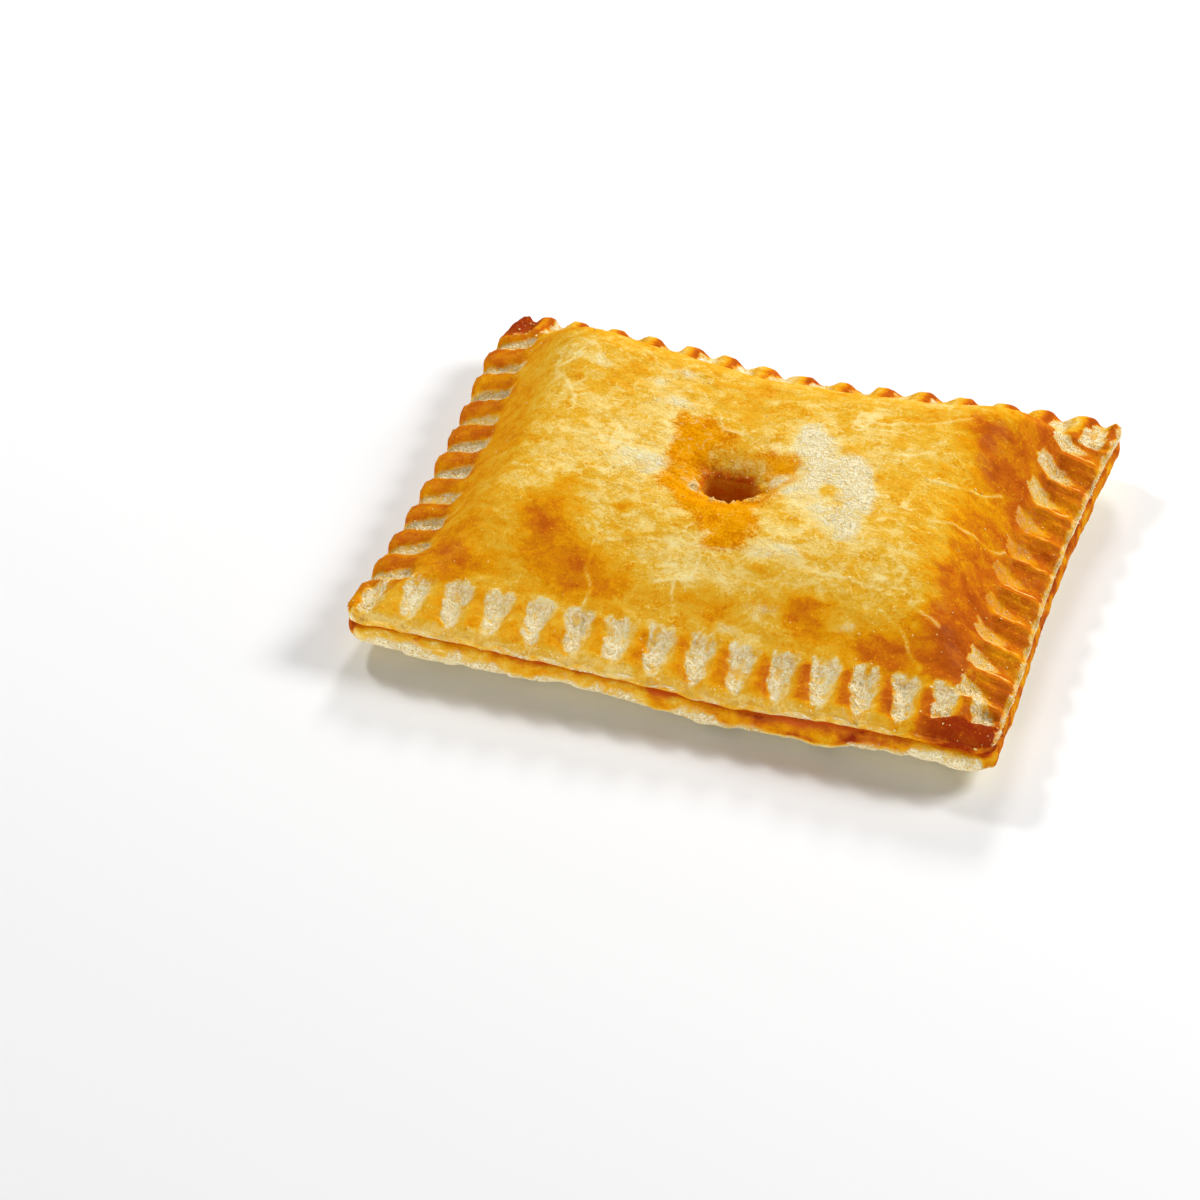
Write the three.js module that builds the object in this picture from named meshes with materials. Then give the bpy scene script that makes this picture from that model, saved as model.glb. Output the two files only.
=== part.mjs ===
// A whole tuna puff: two sheets of puff pastry pressed together round a filling and baked.
// It is a rectangle with a crimped border, a swollen lid with a steam vent in its middle, and
// a seam between lid and base all round its edge. Millimetres, +Z up. The origin is on the
// tray, under the middle of the base; +X runs along the long edges and -Y is the front.
// Forms are worked out on a plain rectangle first, then its corners are rounded and its
// edges are drawn in.
import * as THREE from "three";

// Size, and the crimping tool's teeth: each edge holds a whole number of them.
const LENGTH = 140;
const WIDTH = 107;
const RIBS_LONG = 16;
const RIBS_SHORT = 12;
const HALF_LENGTH = LENGTH / 2;
const HALF_WIDTH = WIDTH / 2;
const PITCH_LONG = LENGTH / RIBS_LONG;
const PITCH_SHORT = WIDTH / RIBS_SHORT;

// Outline: the rising filling draws the ends in, dents the back edge and curls the corners up.
// The left-hand back corner has shrunk most, and the right-hand front corner a little.
const CORNER_RADIUS = 4.5;
const LEFT_BOW = 2.6;
const RIGHT_BOW = 3.4;
const BACK_DENT = { x: 2, reach: 22, depth: 3 };
const BACK_LEFT_PULL = { x: 4, y: 1.5, reach: 11 };
const FRONT_RIGHT_PULL = { x: 2, reach: 16 };

// How far the rim rides up at its corners and along the front, which sags in the middle, and
// how its underside drapes there.
const CORNER_LIFT = { backLeft: 1.2, backRight: 2, front: 1.2 };
const FRONT_LIFT = 1.1;
const FRONT_SAG = { x: 12, reach: 14, depth: 1.5 };
const FRONT_DRAPE = [
  { x: 31, reach: 7, height: -1.4 },
  { x: -9, reach: 7, height: 1.1 },
  { x: 52, reach: 9, height: 0.9 },
];

// Heights over the tray.
const RIM_LOW = 2.8;
const RIM_WAVE = 0.6;
const CORNER_TUCK = 2.2;
const SEAM_HEIGHT = 8.6;
const SEAM_GAP = 0.7;
const RIM_TOP = 12.3;
const CROWN = 28;

// Border and swell of the lid: a sloping border, then a rounded shoulder up to the crown.
const BORDER = 10;
const BORDER_RISE = 3.2;
const SHOULDER_START = 9;
const SHOULDER_WIDTH = 26;
const FRONT_SHOULDER_WIDTH = 43;
const SHOULDER_FOOT_POWER = 1.5;
const SHOULDER_TOP_POWER = 4;
const PLAN_ROUND = 6;

// Crimp marks: flat-bottomed grooves across the border, wider at their inner ends.
const GROOVE_LENGTH = 10.4;
const GROOVE_DEPTH = 2.3;
const GROOVE_AT_EDGE = 0.85;
const GROOVE_UNEVEN = 0.3;
const GROOVE_HALF_INNER = 2.6;
const GROOVE_HALF_OUTER = 1.7;
const GROOVE_WALL = 1.2;
const GROOVE_END = 0.75;
const RIGHT_GROOVES = 0.75;
const SCALLOP = 0.8;
const SCALLOP_FADE = 5;
const CORNER_CLEAR = 9;

// Edge of the two sheets, as steps inwards from the outline.
const EDGE_ROUND = 0.9;
const EDGE_ROUND_WIDTH = 1.8;
const LID_SIDE_IN = 0.6;
const SEAM_DEPTH = 1.6;
const BASE_LIP_IN = 0.5;
const BASE_FOOT_IN = 2;
const FOOT_WIDTH = 15;

// Vent: an oval hole at the bottom of a funnel in the lid, with the filling showing in it.
const VENT = { x: -2, y: -4, halfLength: 6.2, halfWidth: 4.8, ragged: 0.07 };
const FUNNEL = { depth: 5.6, halfLength: 15, halfWidth: 12.5 };
const PIT_FLOOR = 9;
const PIT_NARROWING = 0.86;
const FILLING_TOP = 13.8;
const FILLING_LUMP = 0.9;
const CLEARANCE = 0.3;

// Uneven swelling of the lid: places in the lid's plane, reach and height.
const SWELLS = [
  { x: -34, y: 14, reach: 20, height: 1.4 },
  { x: 30, y: 20, reach: 17, height: 1 },
  { x: 38, y: -14, reach: 18, height: 0.8 },
  { x: -18, y: -22, reach: 13, height: -1 },
  { x: 14, y: -24, reach: 12, height: 0.8 },
  { x: 12, y: 30, reach: 14, height: -0.8 },
  { x: -7, y: 40, reach: 8, height: -1.6 },
  { x: -46, y: 33, reach: 15, height: 3.4 },
  { x: 56, y: 36, reach: 15, height: 5 },
];

// Rings of the border, by inset, and points along it: a rib's crest and both ends of its walls.
const BORDER_INSETS = [0, 1.1, 3, 5.6, 8, 9.6, 10.4, 11.4];
const INNERMOST = 26;
const RIB_POINTS = [-3.1, -1.5, 0, 1.5, 3.1];

const clamp01 = (t) => Math.min(1, Math.max(0, t));
const mix = (a, b, t) => a + (b - a) * t;

function smoothstep(low, high, t) {
  const s = clamp01((t - low) / (high - low));
  return s * s * (3 - 2 * s);
}

// Share of a groove at a place: 1 on its floor, 0 on a rib. along runs with the edge, inset
// is the distance from it, and phase sets how the depths of that edge's grooves vary.
function grooveShare(along, inset, pitch, phase) {
  const number = Math.floor(along / pitch);
  const fromMiddle = Math.abs(along - (number + 0.5) * pitch);
  const inward = clamp01(inset / GROOVE_LENGTH);
  const half = mix(GROOVE_HALF_OUTER, GROOVE_HALF_INNER, inward);
  const across = 1 - smoothstep(half - GROOVE_WALL, half + GROOVE_WALL, fromMiddle);
  const end = 1 - smoothstep(GROOVE_LENGTH - GROOVE_END, GROOVE_LENGTH + GROOVE_END, inset);
  const depth = 1 - GROOVE_UNEVEN * (0.5 + 0.5 * Math.sin(2.4 * number + phase));
  return across * end * depth * mix(GROOVE_AT_EDGE, 1, inward);
}

function longGroove(x, y) {
  return grooveShare(x, HALF_WIDTH - Math.abs(y), PITCH_LONG, y < 0 ? 0 : 2);
}

function shortGroove(x, y) {
  const clear = smoothstep(CORNER_CLEAR - 2, CORNER_CLEAR, HALF_WIDTH - Math.abs(y));
  const depth = clear * (x < 0 ? 1 : RIGHT_GROOVES);
  return depth * grooveShare(y, HALF_LENGTH - Math.abs(x), PITCH_SHORT, x < 0 ? 6 : 4);
}

// Rise of the lid from its border, 0, to its crown, 1: a rectangle in plan, a little rounded
// where two shoulders meet, with a gentler shoulder along the front.
function swellShare(x, y) {
  const width = y < 0 ? FRONT_SHOULDER_WIDTH : SHOULDER_WIDTH;
  const shareX = (HALF_LENGTH - Math.abs(x) - SHOULDER_START) / SHOULDER_WIDTH;
  const shareY = (HALF_WIDTH - Math.abs(y) - SHOULDER_START) / width;
  const round = PLAN_ROUND / SHOULDER_WIDTH;
  const side = clamp01(0.5 + (shareY - shareX) / (2 * round));
  const t = clamp01(mix(shareY, shareX, side) - round * side * (1 - side));
  return 1 - (1 - t ** SHOULDER_FOOT_POWER) ** SHOULDER_TOP_POWER;
}

const frontShare = (y) => Math.max(0, -y / HALF_WIDTH) ** 3;

// How far the rim rides up.
function rimRide(x, y) {
  const back = x < 0 ? CORNER_LIFT.backLeft : CORNER_LIFT.backRight;
  const cornerLift = y > 0 ? back : CORNER_LIFT.front;
  const lift = cornerLift * (x / HALF_LENGTH) ** 2 * (y / HALF_WIDTH) ** 2;
  const sag = FRONT_SAG.depth * Math.exp(-(((x - FRONT_SAG.x) / FRONT_SAG.reach) ** 2));
  return lift + (FRONT_LIFT - sag) * (1 - (x / HALF_LENGTH) ** 6) * frontShare(y);
}

function swells(x, y) {
  let height = 0;
  for (const swell of SWELLS) {
    const away = (x - swell.x) ** 2 + (y - swell.y) ** 2;
    height += swell.height * Math.exp(-away / swell.reach ** 2);
  }
  return height;
}

function funnel(x, y) {
  const u = (x - VENT.x) / FUNNEL.halfLength;
  const v = (y - VENT.y) / FUNNEL.halfWidth;
  return FUNNEL.depth * Math.exp(-2 * (u * u + v * v));
}

function lidHeight(x, y) {
  const insetX = HALF_LENGTH - Math.abs(x);
  const insetY = HALF_WIDTH - Math.abs(y);
  const slope = BORDER_RISE * clamp01(insetX / BORDER) * clamp01(insetY / BORDER);
  const swell = swellShare(x, y);
  const uneven = (swells(x, y) - funnel(x, y)) * Math.sqrt(swell);
  const pressed = GROOVE_DEPTH * Math.max(longGroove(x, y), shortGroove(x, y));
  const rounded = EDGE_ROUND * (1 - smoothstep(0, EDGE_ROUND_WIDTH, Math.min(insetX, insetY)));
  const crown = (CROWN - RIM_TOP - BORDER_RISE) * swell;
  return RIM_TOP + slope + crown + uneven - pressed - rounded + rimRide(x, y);
}

// Underside of the rim: it waves a little, drapes along the front and thins at the corners.
function rimLow(x, y) {
  const wave = RIM_WAVE * Math.sin(x / 9 + 1) * Math.cos(y / 11 + 2);
  const tuck = CORNER_TUCK * (x / HALF_LENGTH) ** 12 * (y / HALF_WIDTH) ** 12;
  let drape = 0;
  for (const fold of FRONT_DRAPE) {
    drape += fold.height * Math.exp(-(((x - fold.x) / fold.reach) ** 2)) * frontShare(y);
  }
  return RIM_LOW + wave + drape + tuck + rimRide(x, y);
}

// Rounds the rectangle's corners: each corner's square is mapped onto a quarter disc.
function roundedCorner(x, y) {
  const a = (Math.abs(x) - HALF_LENGTH + CORNER_RADIUS) / CORNER_RADIUS;
  const b = (Math.abs(y) - HALF_WIDTH + CORNER_RADIUS) / CORNER_RADIUS;
  if (a <= 0 || b <= 0) return [x, y];
  const towardsX = CORNER_RADIUS * (a - a * Math.sqrt(1 - (b * b) / 2));
  const towardsY = CORNER_RADIUS * (b - b * Math.sqrt(1 - (a * a) / 2));
  return [x - Math.sign(x) * towardsX, y - Math.sign(y) * towardsY];
}

// Place on the puff of a point of the plain rectangle.
function settled(x, y, z) {
  const [roundX, roundY] = roundedCorner(x, y);
  const endPull = ((x < 0 ? LEFT_BOW : RIGHT_BOW) / HALF_LENGTH) * (1 - (y / HALF_WIDTH) ** 2);
  const backShare = Math.max(0, y / HALF_WIDTH) ** 2;
  const dent = BACK_DENT.depth * Math.exp(-(((x - BACK_DENT.x) / BACK_DENT.reach) ** 2));
  const toBack = ((x + HALF_LENGTH) ** 2 + (y - HALF_WIDTH) ** 2) / BACK_LEFT_PULL.reach ** 2;
  const toFront = ((x - HALF_LENGTH) ** 2 + (y + HALF_WIDTH) ** 2) / FRONT_RIGHT_PULL.reach ** 2;
  const backPull = Math.exp(-toBack);
  const frontPull = Math.exp(-toFront);
  const placeX = roundX * (1 - endPull) + BACK_LEFT_PULL.x * backPull - FRONT_RIGHT_PULL.x * frontPull;
  const placeY = roundY - dent * backShare - BACK_LEFT_PULL.y * backPull;
  return new THREE.Vector3(placeX, placeY, z);
}

// Places of the points along one edge, clear of the blocks of points at its corners.
function ribPlaces(half, pitch) {
  const places = [];
  for (let rib = -half; rib <= half; rib += pitch) {
    RIB_POINTS.forEach((step) => places.push(rib + step));
  }
  return places.filter((place) => Math.abs(place) < half - BORDER_INSETS.at(-1) - 0.5);
}

// One ring of the plain rectangle at an inset. Each point keeps its turn, the way round the
// outer edge to it, which pairs it with points of other rings.
function rectangleRing(inset) {
  const points = [];
  const columns = BORDER_INSETS.filter((column) => column > inset);
  let start = 0;
  const addEdge = (half, pitch, place) => {
    const near = columns.map((column) => half - column);
    const along = [...near.map((step) => -step), ...ribPlaces(half, pitch), ...near.reverse()];
    points.push({ turn: start, at: place(inset - half) });
    along.forEach((step) => points.push({ turn: start + half + step, at: place(step) }));
    start += 2 * half;
  };
  const x = HALF_LENGTH - inset;
  const y = HALF_WIDTH - inset;
  addEdge(HALF_LENGTH, PITCH_LONG, (step) => [step, -y]);
  addEdge(HALF_WIDTH, PITCH_SHORT, (step) => [x, step]);
  addEdge(HALF_LENGTH, PITCH_LONG, (step) => [-step, y]);
  addEdge(HALF_WIDTH, PITCH_SHORT, (step) => [-x, -step]);
  return points;
}

const thinned = (ring, keep) => ring.filter((_, i) => i % keep === 0);

// A ring drawn in from another one in proportion.
function shrunk(ring, inset) {
  const scaleX = 1 - inset / HALF_LENGTH;
  const scaleY = 1 - inset / HALF_WIDTH;
  return ring.map(({ turn, at: [x, y] }) => ({ turn, at: [x * scaleX, y * scaleY] }));
}

const OUTLINE = rectangleRing(0);

function lidRing(ring) {
  return ring.map(({ turn, at: [x, y] }) => {
    const fadeX = 1 - smoothstep(0, SCALLOP_FADE, HALF_LENGTH - Math.abs(x));
    const fadeY = 1 - smoothstep(0, SCALLOP_FADE, HALF_WIDTH - Math.abs(y));
    const drawnX = x - Math.sign(x) * SCALLOP * shortGroove(x, y) * fadeX;
    const drawnY = y - Math.sign(y) * SCALLOP * longGroove(x, y) * fadeY;
    return { turn, point: settled(drawnX, drawnY, lidHeight(x, y)) };
  });
}

// A ring of the sheets' edge, stepped in from the outline; height is measured from the tray
// where the rim doesn't ride up, and share goes from the rim's underside up to it.
function edgeRing(inset, height, share = 1) {
  return shrunk(OUTLINE, inset).map(({ turn, at: [x, y] }, i) => {
    const [edgeX, edgeY] = OUTLINE[i].at;
    const z = mix(rimLow(edgeX, edgeY), height + rimRide(edgeX, edgeY), share);
    return { turn, point: settled(x, y, z) };
  });
}

function baseRing(inset, keep) {
  const rimShare = (1 - smoothstep(0, FOOT_WIDTH, inset)) ** 2;
  const outline = thinned(OUTLINE, keep);
  return shrunk(outline, inset).map(({ turn, at: [x, y] }, i) => {
    const [edgeX, edgeY] = outline[i].at;
    return { turn, point: settled(x, y, rimLow(edgeX, edgeY) * rimShare) };
  });
}

// Outline of the vent, a little ragged; scale shrinks it down the pit.
function ventPoint(angle, scale) {
  const torn = 1 + VENT.ragged * (Math.sin(3 * angle + 0.6) + 0.6 * Math.sin(5 * angle + 2.1));
  const x = VENT.x + VENT.halfLength * scale * torn * Math.cos(angle);
  const y = VENT.y + VENT.halfWidth * scale * torn * Math.sin(angle);
  return [x, y];
}

const ventAngle = ([x, y]) => Math.atan2(y / HALF_WIDTH, x / HALF_LENGTH);

function ventRing(scale, height, keep) {
  return thinned(OUTLINE, keep).map(({ turn, at }) => {
    const [x, y] = ventPoint(ventAngle(at), scale);
    return { turn, point: new THREE.Vector3(x, y, height) };
  });
}

// A ring part of the way from the vent's rim out to the top of the lid's shoulder.
function crownRing(share, keep) {
  const outline = thinned(OUTLINE, keep);
  return shrunk(outline, INNERMOST).map(({ turn, at: [toX, toY] }, i) => {
    const [fromX, fromY] = ventPoint(ventAngle(outline[i].at), 1);
    const x = mix(fromX, toX, share);
    const y = mix(fromY, toY, share);
    return { turn, point: settled(x, y, lidHeight(x, y)) };
  });
}

// A closed skin over a row of rings, from a middle point on top to one underneath. Rings may
// have different numbers of points: each step goes along the ring that is behind.
function loft(top, rings, bottom) {
  const positions = [];
  const whole = 2 * (LENGTH + WIDTH);
  const addTriangle = (...corners) => corners.forEach((c) => positions.push(c.x, c.y, c.z));
  const pointOf = (ring, i) => ring[i % ring.length].point;
  const turnOf = (ring, i) => (i < ring.length ? ring[i].turn : whole);
  const stitch = (inner, outer) => {
    let i = 0;
    let j = 0;
    while (i < inner.length || j < outer.length) {
      const innerFirst = turnOf(inner, i + 1) < turnOf(outer, j + 1);
      const onInner = j === outer.length || (innerFirst && i < inner.length);
      const next = onInner ? pointOf(inner, i + 1) : pointOf(outer, j + 1);
      addTriangle(pointOf(inner, i), pointOf(outer, j), next);
      if (onInner) i += 1;
      else j += 1;
    }
  };
  const first = rings[0];
  const last = rings.at(-1);
  first.forEach(({ point }, i) => addTriangle(top, point, pointOf(first, i + 1)));
  for (let k = 1; k < rings.length; k++) stitch(rings[k - 1], rings[k]);
  last.forEach(({ point }, i) => addTriangle(bottom, pointOf(last, i + 1), point));
  const geometry = new THREE.BufferGeometry();
  geometry.setAttribute("position", new THREE.Float32BufferAttribute(positions, 3));
  geometry.computeVertexNormals();
  return geometry;
}

function pastryGeometry() {
  const pit = [
    ventRing(PIT_NARROWING, PIT_FLOOR, 10),
    ventRing(mix(PIT_NARROWING, 1, 0.6), mix(PIT_FLOOR, CROWN - FUNNEL.depth, 0.6), 10),
  ];
  const crownSteps = [[0, 5], [0.09, 5], [0.22, 5], [0.42, 4], [0.7, 3], [1, 2]];
  const crown = crownSteps.map(([share, keep]) => crownRing(share, keep));
  const shoulders = [22, 18.5, 15.5, 13].map((inset) => lidRing(shrunk(thinned(OUTLINE, 2), inset)));
  const border = [...BORDER_INSETS].reverse().map((inset) => lidRing(rectangleRing(inset)));
  const edge = [
    edgeRing(LID_SIDE_IN, SEAM_HEIGHT + SEAM_GAP / 2),
    edgeRing(SEAM_DEPTH, SEAM_HEIGHT),
    edgeRing(BASE_LIP_IN, SEAM_HEIGHT - SEAM_GAP / 2),
    edgeRing(0, SEAM_HEIGHT, 0.5),
    edgeRing(BASE_LIP_IN, SEAM_HEIGHT, 0.12),
  ];
  const base = [baseRing(BASE_FOOT_IN, 2), baseRing(7, 2), baseRing(FOOT_WIDTH, 3)];
  const pitMiddle = new THREE.Vector3(VENT.x, VENT.y, PIT_FLOOR);
  const footMiddle = new THREE.Vector3(0, 0, 0);
  return loft(pitMiddle, [...pit, ...crown, ...shoulders, ...border, ...edge, ...base], footMiddle);
}

// The part of the filling that shows through the vent, lumpy on top.
function fillingGeometry() {
  const keep = 10;
  const plug = PIT_NARROWING - (1.5 * CLEARANCE) / VENT.halfWidth;
  const lumpy = (scale) => {
    const ring = ventRing(scale, FILLING_TOP, keep);
    ring.forEach(({ point }) => {
      point.z += FILLING_LUMP * Math.sin(1.1 * point.x + 0.4) * Math.cos(1.3 * point.y - 0.5);
    });
    return ring;
  };
  const rings = [
    lumpy(plug * 0.35),
    lumpy(plug * 0.72),
    ventRing(plug, FILLING_TOP - 1.4, keep),
    ventRing(plug, PIT_FLOOR + CLEARANCE, keep),
  ];
  const underneath = new THREE.Vector3(VENT.x, VENT.y, PIT_FLOOR + CLEARANCE);
  return loft(lumpy(0)[0].point, rings, underneath);
}

function solid(name, geometry, colour, roughness) {
  const material = new THREE.MeshStandardMaterial({ color: colour, roughness, metalness: 0 });
  const mesh = new THREE.Mesh(geometry, material);
  mesh.name = name;
  return mesh;
}

const puff = new THREE.Group();
puff.add(solid("pastry", pastryGeometry(), 0xe0a248, 0.55));
puff.add(solid("filling", fillingGeometry(), 0x9c3714, 0.4));

export default puff;
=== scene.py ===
"""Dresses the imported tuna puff: its baked pastry, the filling in its vent, crumbs, flour and
flakes, and a plain studio. Shapes are worked out in millimetres on a plain rectangle, whose
corners are then rounded and whose edges are drawn in. Meshes are in metres, in the frame of the
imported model."""

import math

import bmesh
import bpy
import numpy as np
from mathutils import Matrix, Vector, noise


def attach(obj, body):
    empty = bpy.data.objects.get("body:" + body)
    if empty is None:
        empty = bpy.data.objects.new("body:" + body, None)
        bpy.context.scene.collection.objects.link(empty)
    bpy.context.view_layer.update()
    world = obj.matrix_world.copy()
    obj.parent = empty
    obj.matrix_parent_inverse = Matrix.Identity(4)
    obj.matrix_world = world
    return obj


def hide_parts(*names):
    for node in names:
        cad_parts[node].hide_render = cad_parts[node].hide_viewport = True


bl_info = {
    "name": "Tuna puff",
    "version": (1, 0, 0),
    "blender": (4, 5, 0),
    "location": "3D View > Sidebar > Puff",
    "description": "A baked puff-pastry rectangle with a crimped border and a filled steam vent",
    "category": "Object",
}

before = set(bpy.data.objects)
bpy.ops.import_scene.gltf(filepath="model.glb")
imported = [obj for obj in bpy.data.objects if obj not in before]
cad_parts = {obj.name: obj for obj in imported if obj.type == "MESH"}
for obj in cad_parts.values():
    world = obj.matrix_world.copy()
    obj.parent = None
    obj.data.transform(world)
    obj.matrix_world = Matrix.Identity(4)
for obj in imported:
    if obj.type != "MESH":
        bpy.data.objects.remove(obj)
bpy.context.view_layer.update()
MM = 0.001

# Outline and heights, in millimetres or as shares. They are the solid's, apart from the softer walls
# and ends of the crimp marks and the shape of the filling's top.
LENGTH = 140.0
WIDTH = 107.0
HALF_LENGTH = LENGTH / 2
HALF_WIDTH = WIDTH / 2
PITCH_LONG = LENGTH / 16
PITCH_SHORT = WIDTH / 12
CORNER_RADIUS = 4.5
LEFT_BOW = 2.6
RIGHT_BOW = 3.4
BACK_DENT_X = 2.0
BACK_DENT_REACH = 22.0
BACK_DENT_DEPTH = 3.0
BACK_LEFT_PULL_X = 4.0
BACK_LEFT_PULL_Y = 1.5
BACK_LEFT_REACH = 11.0
FRONT_RIGHT_PULL = 2.0
FRONT_RIGHT_REACH = 16.0
BACK_LEFT_LIFT = 1.2
BACK_RIGHT_LIFT = 2.0
FRONT_CORNER_LIFT = 1.2
FRONT_LIFT = 1.1
FRONT_SAG_X = 12.0
FRONT_SAG_REACH = 14.0
FRONT_SAG_DEPTH = 1.5
RIM_LOW = 2.8
RIM_WAVE = 0.6
CORNER_TUCK = 2.2
SEAM_HEIGHT = 8.6
RIM_TOP = 12.3
CROWN = 28.0
BORDER = 10.0
BORDER_RISE = 3.2
SHOULDER_START = 9.0
SHOULDER_WIDTH = 26.0
FRONT_SHOULDER_WIDTH = 43.0
PLAN_ROUND = 6.0
GROOVE_LENGTH = 10.4
GROOVE_DEPTH = 2.3
GROOVE_AT_EDGE = 0.85
GROOVE_UNEVEN = 0.3
GROOVE_HALF_INNER = 2.6
GROOVE_HALF_OUTER = 1.7
GROOVE_WALL = 1.6
GROOVE_END = 1.6
RIGHT_GROOVES = 0.75
SCALLOP = 0.8
SCALLOP_FADE = 5.0
CORNER_CLEAR = 9.0
EDGE_ROUND = 0.9
EDGE_ROUND_WIDTH = 1.8
FOOT_WIDTH = 15.0
VENT_X = -2.0
VENT_Y = -4.0
VENT_HALF_LENGTH = 6.2
VENT_HALF_WIDTH = 4.8
VENT_RAGGED = 0.07
FUNNEL_DEPTH = 5.6
FUNNEL_HALF_LENGTH = 15.0
FUNNEL_HALF_WIDTH = 12.5
PIT_FLOOR = 9.0
PIT_NARROWING = 0.86
FILLING_TOP = 13.8
FILLING_SLOPE = 1.4
FILLING_LUMPY = 1.4
CLEARANCE = 0.3

# Relief that the solid hasn't got, in millimetres: how far the edges of the crimp marks wander along
# the border and across it, how far the tiles of the right-hand end tilt, the torn line at the inner
# ends of the crimp marks and the inset at which it takes their width, the dip and the crumbly lip
# of the vent, and the unevenness of the rim's underside. The lip's place and width are shares of
# the vent's size.
CRIMP_WANDER_ALONG = 0.8
CRIMP_WANDER_IN = 1.3
TILE_TILT = 0.9
TEAR_INSET = 10.7
TEAR_WIDTH = 0.35
TEAR_DEPTH = 0.2
TEAR_MOUTH = 9
VENT_DIP = 1.6
LIP_HEIGHT = 1.6
LIP_SINK = 0.5
LIP_PLACE = 1.16
LIP_WIDTH = 0.24
RIM_UNEVEN = 0.9

# The flat band along the front right-hand edge: between which places along the edge it fades in,
# widens and darkens, its least and greatest width, and how softly it ends.
BAND_FADE = (40, 60)
BAND_WIDENING = (46, 66)
BAND_SCORCH = (42, 58)
BAND_WIDTHS = (1.6, 5.4)
BAND_SOFTNESS = 1.4

# Uneven swelling of the lid: place, reach and height.
SWELLS = (
    (-34, 14, 20, 1.4),
    (30, 20, 17, 1.0),
    (38, -14, 18, 0.8),
    (-18, -22, 13, -1.0),
    (14, -24, 12, 0.8),
    (12, 30, 14, -0.8),
    (-7, 40, 8, -1.6),
    (-46, 33, 15, 3.4),
    (56, 36, 15, 5.0),
)

# How the underside of the rim drapes along the front: place, reach and height.
FRONT_DRAPE = ((31, 7, -1.4), (-9, 7, 1.1), (52, 9, 0.9))

# The lid's grid, how far it crowds towards the edges, and the block of it that becomes the vent.
COLUMNS = 300
ROWS = 230
CROWDING = 0.2
BLOCK_HALF_LENGTH = 5.6
BLOCK_HALF_WIDTH = 4.4

# Rows of the edge below the lid: inset, the two heights that each lies between and its share of the
# way from the lower to the upper one.
EDGE_ROWS = (
    (0.05, "seam", "lid", 0.82),
    (0.2, "seam", "lid", 0.6),
    (0.4, "seam", "lid", 0.36),
    (0.6, "seam", "lid", 0.15),
    (1.2, "seam", "lid", 0.06),
    (1.8, "seam", "lid", 0.0),
    (1.1, "rim", "seam", 0.96),
    (0.5, "rim", "seam", 0.92),
    (0.15, "rim", "seam", 0.76),
    (0.0, "rim", "seam", 0.5),
    (0.1, "rim", "seam", 0.3),
    (0.5, "rim", "seam", 0.12),
    (1.1, "rim", "seam", 0.03),
)

# The row in the seam, the insets of the foot's rows, and the pit's rows: their size against the
# vent's rim and their share of the way down to the floor.
SEAM_ROW = 6
FOOT_ROWS = (2.0, 4.0, 7.0, 11.0, 15.0)
PIT_ROWS = ((0.98, 0.06), (0.95, 0.2), (0.92, 0.4), (0.9, 0.6), (0.88, 0.8), (0.86, 1.0))

# Levels of the bake at which the crust has each of its colours, then those of the ribs, which go from
# left to right along the front, of the paler left side of each rib, of the crimp marks and of the
# front rim, and the place, reach and level of the burnt corner.
PALE = 0.18
GOLDEN = 0.38
AMBER = 0.6
BROWN = 0.8
DARK = 1.0
FRONT_RIBS = (0.56, 0.82)
BACK_RIBS = 0.86
LEFT_RIBS = 0.74
RIGHT_RIBS = 0.78
RIB_LEFT_SIDE = 0.4
CRIMP_FLOOR = 0.4
FRONT_RIM = 0.36
BURNT_CORNER = (-67, 50)
BURNT_REACH = 6
BURNT = 0.98

# Flour in the crimp marks: the half widths, at the edge and at the inner end, of a streak at front or
# back and of a wedge on the right, how little is left where it is worn, and its strengths. Last is
# how far the painted highlight, a pale line along the lit wall of a right-hand mark, is from the
# mark's middle.
STREAK_HALVES = (1.4, 3.2)
WEDGE_HALVES = (0.2, 2.3)
STREAK_WORN = 0.3
WEDGE_DUST = (0.22, 0.6)
LEFT_DUST = 0.8
FRONT_RIM_DUST = 0.2
RIGHT_RIM_DUST = 0.42
WALL_HIGHLIGHT_OFFSET = 2.3

# Marks on the lid, seen from above: how far their edges wander, and patches. A patch is its place,
# its two reaches and its strength, or, for the bake, the level that the crust reaches there. A few
# of the bake patches, on the front slope, are painted light.
BAKE_WANDER = 3
MARK_WANDER = 1.6
BAKE_AND_SHADING_PATCHES = (
    (-25, -2, 20, 18, 0.25),
    (22, -14, 16, 11, 0.27),
    (20, 14, 18, 9, 0.33),
    (-38, 14, 14, 14, 0.36),
    (41, 2, 10, 16, 0.4),
    # Along the front slope the crust is kept paler than its bake, partly as painted light on a slope
    # the lamps leave in shade.
    (0, -37, 80, 8, 0.44),
    (53, 0, 6, 42, 0.66),
    (-56, 0, 7, 42, 0.6),
    (10, 34, 45, 7, 0.41),
    (-4, 20, 5, 10, 0.5),
    (36, 23, 12, 5, 0.43),
    (58, -20, 8, 24, 0.84),
    (59, 36, 8, 11, 0.82),
    (50, 24, 8, 7, 0.8),
    (60, 8, 4, 16, 0.8),
    (57, 18, 6, 6, 0.84),
    (43, -38, 13, 5, 0.84),
    (55, -34, 8, 9, 0.84),
    (24, -34, 7, 3.5, 0.72),
    (3, -35, 5, 3, 0.6),
    (-36, -27, 6, 8, 0.74),
    (-28, -34, 6, 6, 0.76),
    (-33, -19, 5, 4, 0.6),
    (-20, -37, 5, 5, 0.7),
    (-23, -19, 1.6, 1.8, 0.66),
    (-50, 38, 9, 10, 0.6),
    (-53, -36, 10, 10, 0.7),
    # These two patches are painted light: they lighten the front slope, which faces away from the
    # lamps.
    (5, -24, 24, 6, 0.3),
    (-1, -30, 11, 4, 0.26),
)
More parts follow.
